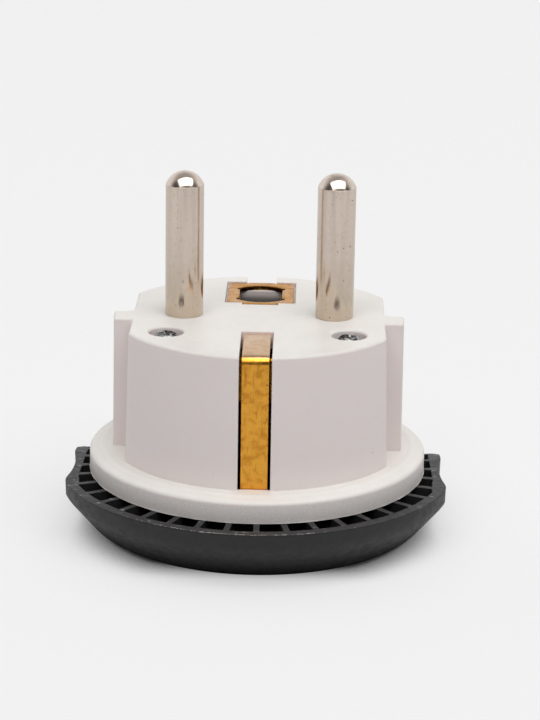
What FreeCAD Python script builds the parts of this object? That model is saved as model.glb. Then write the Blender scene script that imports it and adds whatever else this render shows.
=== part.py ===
"""Plug adapter: a round two-pin earthed plug on top of a wider socket cover.

Millimetres. The adapter lies on its socket face, pins up: Z = 0 is the socket face,
the Z axis is the plug's axis, +X is to the right and the front earth strap faces -Y.
"""
import FreeCAD
import Part
import Sketcher
import os

VECTOR = FreeCAD.Vector
FULL_TURN = 360.0

DIMENSIONS = [
    # levels above the socket face
    ("rim_level", 7.4, "rim of the socket cover, and the underside of the flange"),
    ("flange_thickness", 3.13, "thickness of the flange"),
    ("body_height", 16.97, "height of the plug body above the flange"),
    ("pin_length", 18.5, "reach of the plug pins above the plug face"),
    # plug housing, outside
    ("flange_radius", 21.46, "outer radius of the flange"),
    ("flange_round", 1.9, "rounding of the flange's upper edge"),
    ("foot_radius", 18.5, "radius of the body where it meets the flange"),
    ("face_radius", 18.37, "radius of the body at the plug face"),
    ("face_round", 0.35, "rounding of the body's upper edge"),
    ("flat_at_foot", 16.4, "distance of the side flats from the axis at the flange"),
    ("flat_at_face", 15.9, "distance of the side flats from the axis at the plug face"),
    ("guide_front", 2.7, "front face of the side guides, in front of the pins"),
    ("guide_back", 0.7, "back face of the side guides, behind the pins"),
    ("guide_root", 1.2, "root rounding behind the side guides"),
    # plug housing, inside
    ("face_wall", 2.2, "thickness of the plug face"),
    ("side_wall", 1.5, "thickness of the round body wall"),
    ("flat_wall", 1.2, "thickness of the wall behind the side flats"),
    ("relief_wall", 0.55, "thickness of the wall beside the line chambers"),
    ("chamber_level", 19.0, "top of the line chambers"),
    # plug pins
    ("pin_pitch", 19.0, "distance between the plug pins"),
    ("pin_radius", 2.4, "radius of the plug pins"),
    ("neck_radius", 2.2, "radius of the pins inside the plug face"),
    ("cap_height", 1.65, "height of the domed pin tip"),
    ("cap_edge", 0.12, "small step in radius where the dome starts"),
    ("pin_clearance", 0.04, "clearance of the pins in the plug face"),
    ("collar_radius", 3.5, "radius of the pin collar under the plug face"),
    ("collar_height", 1.5, "height of the pin collar"),
    ("tail_radius", 1.5, "radius of the pin tail through the line springs"),
    ("tail_head_radius", 2.2, "radius of the closed pin tail"),
    ("tail_head_height", 0.8, "height of the closed pin tail"),
    # socket layout
    ("line_offset", 11.1, "distance of each line slot from the axis plane"),
    ("line_row", 8.6, "line slots behind the pins"),
    ("earth_offset", 22.23, "distance of the earth slot from the line slots"),
    ("line_slot_length", 7.0, "length of a line slot"),
    ("line_slot_width", 4.7, "width of a line slot"),
    ("round_slot_radius", 2.65, "round end of a line slot"),
    ("earth_slot_length", 8.6, "length of the earth slot"),
    ("earth_slot_width", 4.7, "width of the earth slot"),
    ("slot_chamfer", 0.6, "lead-in of the slots"),
    ("slot_play", 0.1, "narrowing of the line chambers beside the slots"),
    # socket cover
    ("cover_radius", 25.6, "outer radius of the cover at its rim"),
    ("cover_wall", 1.3, "thickness of the cover's wall"),
    ("cover_floor", 2.2, "thickness of the socket face"),
    ("cover_band", 8.1, "width of the curved band round the flat socket face"),
    ("cover_corner", 4.4, "tight curve under the cover's wall"),
    ("rim_band", 1.4, "height of the upright band under the cover's rim"),
    ("cover_inner_corner", 4.6, "curve between the floor and the wall inside"),
    ("grip_depth", 2.1, "depth of the finger grip's waist in the cover"),
    ("grip_wall", 1.0, "thickness of the wall behind the grip's waist"),
    ("grip_waist_y", -1.5, "place of the grip's waist along Y"),
    ("grip_radius", 26.6, "radius of the hollow of the finger grips"),
    ("grip_flare", 0.57, "reach of the grip's straight part beyond its waist"),
    ("grip_end", 9.8, "rear end of the grip's straight part"),
    ("grip_draft", 3.0, "slope in degrees of the grip's wall"),
    ("grip_round", 1.6, "rounding of the grip's front shoulder"),
    ("rear_crease", 3.4, "place behind the axis where the rim starts to fall"),
    ("rear_start", 3.0, "slope in degrees where the rim starts to fall"),
    ("rear_curve", 17.0, "radius of the falling rim"),
    ("rear_drop", 3.0, "drop of the rear rim below the front rim"),
    ("rib_count", 41, "ribs round the cover"),
    ("rib_turn", -88.75, "angle of the front rib"),
    ("rib_width", 0.75, "thickness of a rib"),
    ("ring_radius", 19.8, "outer radius of the ring that carries the flange"),
    ("ring_wall", 1.2, "thickness of that ring"),
    ("tube_wall", 1.0, "wall of the tubes round the slots"),
    ("tower_drop", 1.3, "walls beside the earth slot, below the inside of the plug face"),
    # screws
    ("screw_x", 11.3, "distance of each screw from the axis plane"),
    ("screw_y", 8.1, "screws in front of the pins"),
    ("screw_recess_radius", 2.15, "radius of the screw recess in the plug face"),
    ("screw_recess_round", 0.35, "softened edge of the screw recess"),
    ("screw_sink", 1.0, "depth of the screw head below the plug face"),
    ("head_radius", 1.95, "radius of the screw head"),
    ("head_height", 1.5, "height of the screw head"),
    ("head_round", 0.45, "rounded edge of the screw head"),
    ("shank_radius", 1.3, "radius of the screw shank"),
    ("shank_length", 16.0, "length of the screw under its head"),
    ("screw_clearance", 0.05, "clearance round the screw shank"),
    ("recess_span", 2.5, "span of the cross in the screw head"),
    ("recess_width", 0.6, "width of the cross in the screw head"),
    ("recess_depth", 1.0, "depth of the cross in the screw head"),
    ("screw_tube_radius", 3.2, "radius of the housing's screw tubes"),
    ("boss_radius", 2.75, "radius of the cover's screw bosses"),
    ("boss_level", 16.0, "level where screw tube and boss meet"),
    ("pillar_radius", 2.6, "radius of the pillars under the pins"),
    ("tower_clearance", 0.5, "clearance round the walls beside the earth slot"),
    # earth metalwork
    ("strap_thickness", 0.6, "thickness of the earth straps"),
    ("strap_width", 3.35, "width of the earth straps"),
    ("strap_face", 17.8, "outer face of the strap legs from the axis"),
    ("strap_bend", 1.1, "outer bend radius of the straps"),
    ("strap_tail", 8.7, "lower end of the strap legs"),
    ("strap_sink", 0.1, "depth of the strap top below the plug face"),
    ("strap_slot_width", 4.0, "width of the strap slots in the body"),
    ("strap_slot_end", 7.6, "inner end of the front strap slot"),
    ("strap_gap", 0.1, "clearance at the ends of the straps"),
    ("leg_bow_level", 14.5, "level where the front strap's inner leg presses on the earth pin"),
    ("leg_bow", 0.9, "bow of that leg towards the earth slot"),
    ("leg_foot_level", 11.0, "lower end of that leg"),
    ("plate_front", 5.75, "front edge of the rear earth plate"),
    ("plate_back", 15.3, "rear edge of the rear earth plate"),
    ("plate_width", 8.5, "width of the rear earth plate"),
    ("plate_round", 0.7, "corner rounding of the rear earth plate"),
    ("plate_clearance", 0.3, "clearance round the rear earth plate"),
    ("tongue_width", 4.4, "width of the rear plate's front tongue"),
    ("tongue_front", 4.75, "front face of the rear plate's front tongue"),
    ("earth_hole_y", 10.1, "centre of the earth pin hole behind the pins"),
    ("earth_hole_radius", 3.9, "radius of the earth pin hole"),
    ("leaf_spacing", 5.0, "distance between the spring leaves in the hole"),
    ("leaf_notch", 0.3, "relief notch beside each spring leaf"),
    ("leaf_length", 4.1, "length of the spring leaves along Y"),
    ("leaf_reach", 6.5, "reach of the spring leaves below the plate"),
    ("leaf_bow", 0.25, "inward bow of the spring leaves"),
    ("well_front", 7.1, "front of the well below the earth pin hole"),
    ("well_back", 13.6, "back of the well below the earth pin hole"),
    ("well_width", 6.8, "width of the well below the earth pin hole"),
    ("well_wall", 1.0, "wall of the well"),
    ("well_floor", 12.5, "floor level of the well"),
    # earth bridge and its rivets
    ("bridge_width", 5.0, "width of the earth bridge"),
    ("bridge_drop", 1.1, "top of the earth bridge, below the inside of the plug face"),
    ("tab_reach", 5.8, "reach of the riveted tabs below the top of the bridge"),
    ("rivet_drop", 3.6, "level of the rivets below the top of the bridge"),
    ("rivet_clearance", 0.04, "clearance of the rivets in their holes"),
    ("rivet_radius", 1.0, "radius of the rivet shanks"),
    ("rivet_head_radius", 1.6, "radius of the rivet heads"),
    ("rivet_head_height", 0.6, "height of the rivet heads"),
    # line springs
    ("strip_bend", 0.9, "outer bend radius of the inner strips"),
    ("spring_thickness", 0.6, "thickness of the line springs"),
    ("spring_inner", 7.4, "inner edge of the line springs from the axis plane"),
    ("spring_width", 4.8, "width of the line springs"),
    ("spring_front", 2.8, "front end of the line springs, in front of the pins"),
    ("spring_mouth", 4.6, "space between the line springs at the slot"),
    ("spring_grip", 3.4, "space between the line springs where they grip"),
    ("spring_grip_level", 14.0, "level where the line springs grip"),
    ("spring_foot_level", 9.8, "lower end of the line springs"),
]

doc = FreeCAD.newDocument("plug_adapter")
sheet = doc.addObject("Spreadsheet::Sheet", "dims")
for row, (alias, size, meaning) in enumerate(DIMENSIONS, start=1):
    sheet.set("A%d" % row, alias)
    sheet.set("B%d" % row, str(size))
    sheet.set("C%d" % row, meaning)
    sheet.setAlias("B%d" % row, alias)
doc.recompute()

# levels and places that follow from the sizes above
FLANGE_TOP = "(dims.rim_level + dims.flange_thickness)"
FACE = "(dims.rim_level + dims.flange_thickness + dims.body_height)"
CEILING = "(dims.rim_level + dims.flange_thickness + dims.body_height - dims.face_wall)"
PIN_X = "(dims.pin_pitch / 2)"
CAVITY_RADIUS = "(dims.foot_radius - dims.side_wall)"
CAVITY_FLAT = "(dims.flat_at_face - dims.flat_wall)"
EARTH_ROW = "(dims.line_row - dims.earth_offset)"
REAR_RIM = "(dims.rim_level - dims.rear_drop)"
HEAD_TOP = "(%s - dims.screw_sink)" % FACE
HEAD_SEAT = "(%s - dims.screw_sink - dims.head_height)" % FACE
STRAP_TOP = "(%s - dims.strap_sink)" % FACE
STRAP_UNDER = "(%s - dims.strap_sink - dims.strap_thickness)" % FACE
BRIDGE_TOP = "(%s - dims.bridge_drop)" % CEILING
TAB_FOOT = "(%s - dims.tab_reach)" % BRIDGE_TOP
RIVET_LEVEL = "(%s - dims.rivet_drop)" % BRIDGE_TOP
COLLAR_FOOT = "(%s - dims.collar_height)" % CEILING
SPRING_UNDER = "(%s - 2 * dims.spring_thickness)" % COLLAR_FOOT
COVER_FLAT = "(dims.cover_radius - dims.cover_band)"
COVER_UPRIGHT = "(dims.rim_level - dims.rim_band)"
GRIP_WAIST = "(dims.cover_radius - dims.grip_depth)"
GRIP_SIDE = "(%s + dims.grip_flare)" % GRIP_WAIST
GRIP_INSIDE = "(%s - dims.grip_wall)" % GRIP_WAIST
OUTSIDE = "(2 * dims.cover_radius)"


def value(expression):
    """The number that an expression on the sheet stands for."""
    result = sheet.evalExpression(expression)
    return float(getattr(result, "Value", result))


def body(name):
    """An empty body for one moulding or pressing."""
    made = doc.addObject("PartDesign::Body", name)
    made.Label = name
    return made


def sketch(owner, name, role, offset="0"):
    """A sketch on one of its body's own planes, lifted off it by an offset."""
    made = owner.newObject("Sketcher::SketchObject", name)
    plane = [feature for feature in owner.Origin.OriginFeatures if feature.Role == role]
    made.AttachmentSupport = (plane[0], "")
    made.MapMode = "FlatFace"
    if offset != "0":
        made.setExpression("AttachmentOffset.Base.z", offset)
    doc.recompute()
    return made


def pin_point(target, edge, end, across, up):
    """Tie one end of an edge to its distances from the sketch's origin."""
    for kind, axis, expression in (("DistanceX", -2, across), ("DistanceY", -1, up)):
        if expression == "0":
            target.addConstraint(Sketcher.Constraint("PointOnObject", edge, end, axis))
            continue
        index = target.addConstraint(
            Sketcher.Constraint(kind, -1, 1, edge, end, value(expression)))
        target.setExpression("Constraints[%d]" % index, expression)


def loop(target, points):
    """A closed outline through points; ("arc", x, y) bends the edge to its next point."""
    corners = [point for point in points if point[0] != "arc"]
    bends = {}
    place = -1
    for point in points:
        if point[0] == "arc":
            bends[place] = point[1:]
        else:
            place += 1
    spots = [VECTOR(value(x), value(y), 0) for x, y in corners]
    edges = []
    for index, start in enumerate(spots):
        end = spots[(index + 1) % len(spots)]
        if index in bends:
            middle = VECTOR(value(bends[index][0]), value(bends[index][1]), 0)
            edge = target.addGeometry(Part.Arc(start, middle, end), False)
        else:
            edge = target.addGeometry(Part.LineSegment(start, end), False)
        edges.append(edge)
    ends = []
    for index, edge in enumerate(edges):
        first = target.getPoint(edge, 1)
        near_start = first.distanceToPoint(spots[index]) < first.distanceToPoint(
            spots[(index + 1) % len(spots)])
        ends.append((1, 2) if near_start else (2, 1))
    for index, edge in enumerate(edges):
        after = (index + 1) % len(edges)
        target.addConstraint(Sketcher.Constraint(
            "Coincident", edge, ends[index][1], edges[after], ends[after][0]))
        pin_point(target, edge, ends[index][0], *corners[index])
        if index in bends:
            middle = VECTOR(value(bends[index][0]), value(bends[index][1]), 0)
            mark = target.addGeometry(Part.Point(middle), True)
            pin_point(target, mark, 1, *bends[index])
            target.addConstraint(Sketcher.Constraint("PointOnObject", mark, 1, edge))
    return edges


def rectangle(target, left, right, low, high):
    """A rectangle between four edges."""
    return loop(target, [(left, low), (right, low), (right, high), (left, high)])


def circle(target, across, up, radius):
    """A circle about a point."""
    edge = target.addGeometry(Part.Circle(
        VECTOR(value(across), value(up), 0), VECTOR(0, 0, 1), value(radius)), False)
    index = target.addConstraint(Sketcher.Constraint("Radius", edge, value(radius)))
    target.setExpression("Constraints[%d]" % index, radius)
    pin_point(target, edge, 3, across, up)
    return edge


def revolve(owner, profile, name, kind="PartDesign::Revolution"):
    """Turn a profile about the vertical axis of its sketch."""
    made = owner.newObject(kind, name)
    made.Profile = profile
    made.ReferenceAxis = (profile, ["V_Axis"])
    made.Angle = FULL_TURN
    doc.recompute()
    return made


def pad(owner, profile, name, length, both=False):
    """Raise a sketch along its normal, or to both sides of it."""
    made = owner.newObject("PartDesign::Pad", name)
    made.Profile = profile
    made.setExpression("Length", length)
    if both:
        made.Midplane = True
    doc.recompute()
    return made


def pocket(owner, profile, name, depth, along=True, both=False):
    """Cut a sketch against its normal, and make sure that it did cut."""
    before = owner.Shape.Volume
    made = owner.newObject("PartDesign::Pocket", name)
    made.Profile = profile
    made.setExpression("Length", depth)
    made.Reversed = not along
    if both:
        made.Midplane = True
    doc.recompute()
    if owner.Shape.Volume >= before:
        raise RuntimeError("%s cut nothing" % name)
    return made


def fillet(owner, name, radius, chosen):
    """Round the edges of the body so far that a test picks."""
    shape = owner.Shape
    names = ["Edge%d" % (index + 1) for index, edge in enumerate(shape.Edges) if chosen(edge)]
    if not names:
        raise RuntimeError("%s found no edge" % name)
    base = owner.Tip
    made = owner.newObject("PartDesign::Fillet", name)
    made.Base = (base, names)
    made.setExpression("Radius", radius)
    doc.recompute()
    return made


def is_ring(edge, radius, level):
    """Whether an edge is a circle of a radius about a vertical axis at a level."""
    if not isinstance(edge.Curve, Part.Circle):
        return False
    middle = edge.Curve.Center
    return abs(edge.Curve.Radius - radius) < 0.02 and abs(middle.z - level) < 0.02


def is_upright(edge, across, along):
    """Whether an edge stands upright at a place."""
    if edge.Length < 0.5 or len(edge.Vertexes) < 2:
        return False
    low, high = edge.Vertexes[0].Point, edge.Vertexes[-1].Point
    level = abs(low.x - high.x) < 0.7 and abs(low.y - high.y) < 0.7
    return level and abs(low.x - across) < 0.7 and abs(low.y - along) < 0.7


def plug_housing():
    """The white moulding: round body with side guides, flange, and its hollow inside."""
    owner = body("plug_housing")
    turned = sketch(owner, "housing_profile", "XZ_Plane")
    loop(turned, [("0", "dims.rim_level"), ("dims.flange_radius", "dims.rim_level"),
                  ("dims.flange_radius", FLANGE_TOP), ("dims.foot_radius", FLANGE_TOP),
                  ("dims.face_radius", FACE), ("0", FACE)])
    revolve(owner, turned, "housing_blank")
    fillet(owner, "flange_edge", "dims.flange_round",
           lambda edge: is_ring(edge, value("dims.flange_radius"), value(FLANGE_TOP)))
    for name, offset, along in (("front", "dims.guide_front", False),
                                ("back", "-dims.guide_back", True)):
        flats = sketch(owner, name + "_flats", "XZ_Plane", offset)
        for sign in ("", "-"):
            loop(flats, [(sign + "dims.flat_at_foot", FLANGE_TOP), (sign + OUTSIDE, FLANGE_TOP),
                         (sign + OUTSIDE, FACE), (sign + "dims.flat_at_face", FACE)])
        pocket(owner, flats, name + "_flat_cut", OUTSIDE, along)
    middle_flat = (value("dims.flat_at_foot") + value("dims.flat_at_face")) / 2
    fillet(owner, "guide_roots", "dims.guide_root",
           lambda edge: any(is_upright(edge, side * middle_flat, value("dims.guide_back"))
                            for side in (-1, 1)))
    fillet(owner, "face_edge", "dims.face_round",
           lambda edge: abs(edge.BoundBox.ZMin - value(FACE)) < 0.01)
    hollow_housing(owner)
    stand_screw_tubes(owner)
    sink_earth_well(owner)
    cut_housing_openings(owner)
    return owner


def hollow_housing(owner):
    """The open inside, the thinner wall beside the line chambers and the earth chamber."""
    corner = "sqrt(%s ^ 2 - %s ^ 2)" % (CAVITY_RADIUS, CAVITY_FLAT)
    inside = sketch(owner, "cavity_outline", "XY_Plane", "dims.rim_level")
    loop(inside, [(CAVITY_FLAT, "-" + corner), (CAVITY_FLAT, corner),
                  ("arc", "0", CAVITY_RADIUS), ("-" + CAVITY_FLAT, corner),
                  ("-" + CAVITY_FLAT, "-" + corner), ("arc", "0", "-" + CAVITY_RADIUS)])
    pocket(owner, inside, "cavity", CEILING + " - dims.rim_level", False)
    reach = "(dims.foot_radius - dims.relief_wall)"
    outer_x = "(dims.line_offset + dims.line_slot_length / 2 - dims.slot_play)"
    outer_y = "(dims.line_row + dims.line_slot_width / 2)"
    relief = sketch(owner, "chamber_relief_outline", "XY_Plane", "dims.rim_level")
    for sign in ("", "-"):
        loop(relief, [(sign + PIN_X, "dims.line_row"), (sign + outer_x, "dims.line_row"),
                      (sign + outer_x, "sqrt(%s ^ 2 - %s ^ 2)" % (reach, outer_x)),
                      (sign + "sqrt(%s ^ 2 - %s ^ 2)" % (reach, outer_y), outer_y),
                      (sign + PIN_X, outer_y)])
    pocket(owner, relief, "chamber_relief", "dims.chamber_level - dims.rim_level", False)
    earth = sketch(owner, "earth_relief_outline", "XY_Plane", "dims.rim_level")
    rectangle(earth, "-dims.earth_slot_width / 2", "dims.earth_slot_width / 2",
              EARTH_ROW + " - dims.earth_slot_length / 2", EARTH_ROW)
    pocket(owner, earth, "earth_relief", "dims.flange_thickness", False)


def stand_screw_tubes(owner):
    """The two screw tubes under the plug face, with their recesses and through holes."""
    spots = (("dims.screw_x", "-dims.screw_y"), ("-dims.screw_x", "-dims.screw_y"))
    tubes = sketch(owner, "screw_tube_outline", "XY_Plane", "dims.boss_level")
    for spot in spots:
        circle(tubes, *spot, "dims.screw_tube_radius")
    pad(owner, tubes, "screw_tubes", CEILING + " - dims.boss_level")
    recesses = sketch(owner, "screw_recess_outline", "XY_Plane", FACE)
    holes = sketch(owner, "screw_hole_outline", "XY_Plane", FACE)
    for spot in spots:
        circle(recesses, *spot, "dims.screw_recess_radius")
        circle(holes, *spot, "dims.shank_radius + dims.screw_clearance")
    pocket(owner, recesses, "screw_recesses", "dims.screw_sink + dims.head_height")
    pocket(owner, holes, "screw_holes", FACE + " - dims.boss_level")
    fillet(owner, "screw_recess_edges", "dims.screw_recess_round",
           lambda edge: is_ring(edge, value("dims.screw_recess_radius"), value(FACE)))


def sink_earth_well(owner):
    """The closed well that an earth pin reaches into through the rear plate's hole."""
    side = "(dims.well_width / 2)"
    outside = sketch(owner, "well_outline", "XY_Plane", "dims.well_floor - dims.well_wall")
    rectangle(outside, "-(%s + dims.well_wall)" % side, "%s + dims.well_wall" % side,
              "dims.well_front - dims.well_wall", "dims.well_back + dims.well_wall")
    pad(owner, outside, "well", CEILING + " - dims.well_floor + dims.well_wall")
    inside = sketch(owner, "well_hollow_outline", "XY_Plane", FACE)
    rectangle(inside, "-" + side, side, "dims.well_front", "dims.well_back")
    pocket(owner, inside, "well_hollow", FACE + " - dims.well_floor")


def cut_housing_openings(owner):
    """The pin holes, the strap slots, and the recess of the rear earth plate."""
    bores = sketch(owner, "pin_bore_outline", "XY_Plane", FACE)
    for across in (PIN_X, "-" + PIN_X):
        circle(bores, across, "0", "dims.neck_radius + dims.pin_clearance")
    pocket(owner, bores, "pin_bores", "dims.face_wall")
    half_slot = "dims.strap_slot_width / 2"
    half_plate = "(dims.plate_width / 2 + dims.plate_clearance)"
    slots = sketch(owner, "strap_slot_outline", "XY_Plane", FACE)
    rectangle(slots, "-" + half_slot, half_slot, "-" + OUTSIDE, "-dims.strap_slot_end")
    rectangle(slots, "-" + half_slot, half_slot, "dims.plate_back", OUTSIDE)
    pocket(owner, slots, "strap_slots", "dims.body_height")
    tails = sketch(owner, "strap_tail_outline", "XY_Plane", FLANGE_TOP)
    outer = "dims.strap_face + dims.strap_gap"
    inner = "dims.strap_face - dims.strap_thickness - dims.strap_gap"
    rectangle(tails, "-" + half_slot, half_slot, "-(%s)" % outer, "-(%s)" % inner)
    rectangle(tails, "-" + half_slot, half_slot, inner, outer)
    pocket(owner, tails, "strap_tail_holes", FLANGE_TOP + " - dims.strap_tail + dims.strap_gap")
    recess = sketch(owner, "plate_recess_outline", "XY_Plane", FACE)
    rectangle(recess, "-" + half_plate, half_plate,
              "dims.plate_front - dims.plate_clearance", "dims.plate_back + dims.strap_gap")
    pocket(owner, recess, "plate_recess", "dims.strap_sink + dims.strap_thickness")
    tongue = sketch(owner, "tongue_slot_outline", "XY_Plane", FACE)
    half_tongue = "(dims.tongue_width / 2 + dims.strap_gap)"
    rectangle(tongue, "-" + half_tongue, half_tongue, "dims.tongue_front - dims.strap_gap",
              "dims.tongue_front + dims.strip_bend + dims.strap_gap")
    pocket(owner, tongue, "tongue_slot", "dims.face_wall")


def dome(brim, height):
    """The middle point of a round cap's profile: its distance out and its drop."""
    radius = "((%s ^ 2 + %s ^ 2) / (2 * %s))" % (brim, height, height)
    turn = "(asin(%s / %s) / 2)" % (brim, radius)
    return "%s * sin(%s)" % (radius, turn), "%s * (1 - cos(%s))" % (radius, turn)


def pin(side, sign):
    """A turned plug pin: domed tip, shank, neck, collar, and a tail closed on the springs."""
    owner = body(side + "_pin")
    top = "(%s + dims.pin_length)" % FACE
    brim = "(dims.pin_radius - dims.cap_edge)"
    out, drop = dome(brim, "dims.cap_height")
    tail = "(%s - dims.tail_head_height)" % SPRING_UNDER
    turned = sketch(owner, side + "_pin_profile", "XZ_Plane")
    loop(turned, [("0", tail), ("dims.tail_head_radius", tail),
                  ("dims.tail_head_radius", SPRING_UNDER), ("dims.tail_radius", SPRING_UNDER),
                  ("dims.tail_radius", COLLAR_FOOT), ("dims.collar_radius", COLLAR_FOOT),
                  ("dims.collar_radius", CEILING), ("dims.neck_radius", CEILING),
                  ("dims.neck_radius", FACE), ("dims.pin_radius", FACE),
                  ("dims.pin_radius", top + " - dims.cap_height"),
                  (brim, top + " - dims.cap_height"),
                  ("arc", out, "%s - %s" % (top, drop)), ("0", top)])
    revolve(owner, turned, side + "_pin_turned")
    owner.setExpression("Placement.Base.x", sign + PIN_X)
    return owner


def bend_strip(owner, name, bends):
    """Round the outer and inner corner of each bend of a strip folded about X."""
    thickness = value("dims.strap_thickness")
    for index, (along, level, toward, radius) in enumerate(bends):
        corners = (("outer", along, level, radius),
                   ("inner", along + toward * thickness, level - thickness,
                    "(%s - dims.strap_thickness)" % radius))
        for place, spot, height, size in corners:
            fillet(owner, "%s_%s_%d" % (name, place, index), size,
                   lambda edge: lies_across(edge, spot, height))


def lies_across(edge, along, level):
    """Whether an edge runs along X at a place."""
    box = edge.BoundBox
    return (box.XLength > 1 and box.YLength < 0.01 and box.ZLength < 0.01
            and abs(box.YMin - along) < 0.02 and abs(box.ZMin - level) < 0.02)


def line_spring(side, sign, place):
    """A folded spring strip from the pin's tail down one side of its line chamber."""
    owner = body("%s_%s_spring" % (side, place))
    across = "%s(dims.spring_inner + dims.spring_width / 2)" % sign
    mouth = "dims.spring_mouth / 2"
    bow = "(dims.spring_mouth - dims.spring_grip) / 2"
    thickness = "dims.spring_thickness"
    if place == "rear":
        top = COLLAR_FOOT
        outer = "(dims.line_row + %s + %s)" % (mouth, thickness)
        inner = "(dims.line_row + %s)" % mouth
        lean = " - "
    else:
        top = "(%s - %s)" % (COLLAR_FOOT, thickness)
        outer = "(dims.line_row - %s)" % mouth
        inner = "(dims.line_row - %s - %s)" % (mouth, thickness)
        lean = " + "
    folded = sketch(owner, "%s_%s_fold" % (side, place), "YZ_Plane", across)
    loop(folded, [("-dims.spring_front", top), (outer, top), (outer, "dims.chamber_level"),
                  (outer + lean + bow, "dims.spring_grip_level"),
                  (outer, "dims.spring_foot_level"), (inner, "dims.spring_foot_level"),
                  (inner + lean + bow, "dims.spring_grip_level"),
                  (inner, "dims.chamber_level"), (inner, "%s - %s" % (top, thickness)),
                  ("-dims.spring_front", "%s - %s" % (top, thickness))])
    pad(owner, folded, "%s_%s_strip" % (side, place), "dims.spring_width", True)
    bend_strip(owner, "%s_%s_bend" % (side, place),
               [(value(outer), value(top), -1, "dims.strip_bend")])
    hole = sketch(owner, "%s_%s_hole_outline" % (side, place), "XY_Plane", CEILING)
    circle(hole, sign + PIN_X, "0", "dims.tail_radius")
    pocket(owner, hole, "%s_%s_hole" % (side, place), "dims.face_wall + dims.collar_height")
    return owner


def rivet_hole(owner, name, offset, depth):
    """A rivet hole along Y through the tabs in front of an offset plane."""
    hole = sketch(owner, name + "_outline", "XZ_Plane", offset)
    circle(hole, "0", RIVET_LEVEL, "dims.rivet_radius + dims.rivet_clearance")
    pocket(owner, hole, name, depth, False)


def front_earth_strap():
    """The front strap: up the body's front, over the plug face and down as a spring leg."""
    owner = body("front_earth_strap")
    face = "-dims.strap_face"
    end = "(-dims.strap_slot_end - dims.strap_gap)"
    thickness = "dims.strap_thickness"
    folded = sketch(owner, "front_strap_fold", "YZ_Plane")
    loop(folded, [(face, "dims.strap_tail"), (face, STRAP_TOP), (end, STRAP_TOP),
                  (end, TAB_FOOT), (end + " - dims.leg_bow", "dims.leg_bow_level"),
                  (end, "dims.leg_foot_level"), (end + " - " + thickness, "dims.leg_foot_level"),
                  ("%s - dims.leg_bow - %s" % (end, thickness), "dims.leg_bow_level"),
                  (end + " - " + thickness, TAB_FOOT),
                  (end + " - " + thickness, STRAP_UNDER),
                  (face + " + " + thickness, STRAP_UNDER),
                  (face + " + " + thickness, "dims.strap_tail")])
    pad(owner, folded, "front_strap_strip", "dims.strap_width", True)
    bend_strip(owner, "front_strap_bend",
               [(value(face), value(STRAP_TOP), 1, "dims.strap_bend"),
                (value(end), value(STRAP_TOP), -1, "dims.strip_bend")])
    rivet_hole(owner, "front_strap_hole", "dims.strap_slot_end", "2 * dims.strap_thickness")
    return owner


def rear_earth_strap():
    """The rear strap: a plate with the earth pin hole, a tongue and a leg down the back."""
    owner = body("rear_earth_strap")
    thickness = "dims.strap_thickness"
    plate = sketch(owner, "plate_outline", "XY_Plane", STRAP_UNDER)
    rectangle(plate, "-dims.plate_width / 2", "dims.plate_width / 2",
              "dims.plate_front", "dims.plate_back")
    pad(owner, plate, "plate", thickness)
    half = value("dims.plate_width") / 2
    spots = [(side * half, value(along)) for side in (-1, 1)
             for along in ("dims.plate_front", "dims.plate_back")]
    fillet(owner, "plate_corners", "dims.plate_round",
           lambda edge: any(is_upright(edge, *spot) for spot in spots))
    inside = "dims.plate_back - dims.strap_bend"
    leg = sketch(owner, "rear_leg_fold", "YZ_Plane")
    loop(leg, [(inside, STRAP_TOP), ("dims.strap_face", STRAP_TOP),
               ("dims.strap_face", "dims.strap_tail"),
               ("dims.strap_face - " + thickness, "dims.strap_tail"),
               ("dims.strap_face - " + thickness, STRAP_UNDER), (inside, STRAP_UNDER)])
    pad(owner, leg, "rear_leg", "dims.strap_width", True)
    root = "dims.plate_front + dims.plate_round"
    tongue = sketch(owner, "tongue_fold", "YZ_Plane")
    loop(tongue, [("dims.tongue_front", TAB_FOOT), ("dims.tongue_front", STRAP_TOP),
                  (root, STRAP_TOP), (root, STRAP_UNDER),
                  ("dims.tongue_front + " + thickness, STRAP_UNDER),
                  ("dims.tongue_front + " + thickness, TAB_FOOT)])
    pad(owner, tongue, "tongue", "dims.tongue_width", True)
    bend_strip(owner, "rear_strap_bend",
               [(value("dims.strap_face"), value(STRAP_TOP), -1, "dims.strap_bend"),
                (value("dims.tongue_front"), value(STRAP_TOP), 1, "dims.strip_bend")])
    pierce_rear_plate(owner)
    rivet_hole(owner, "tongue_hole", "-dims.tongue_front - 2 * " + thickness,
               "3 * " + thickness)
    return owner


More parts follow.
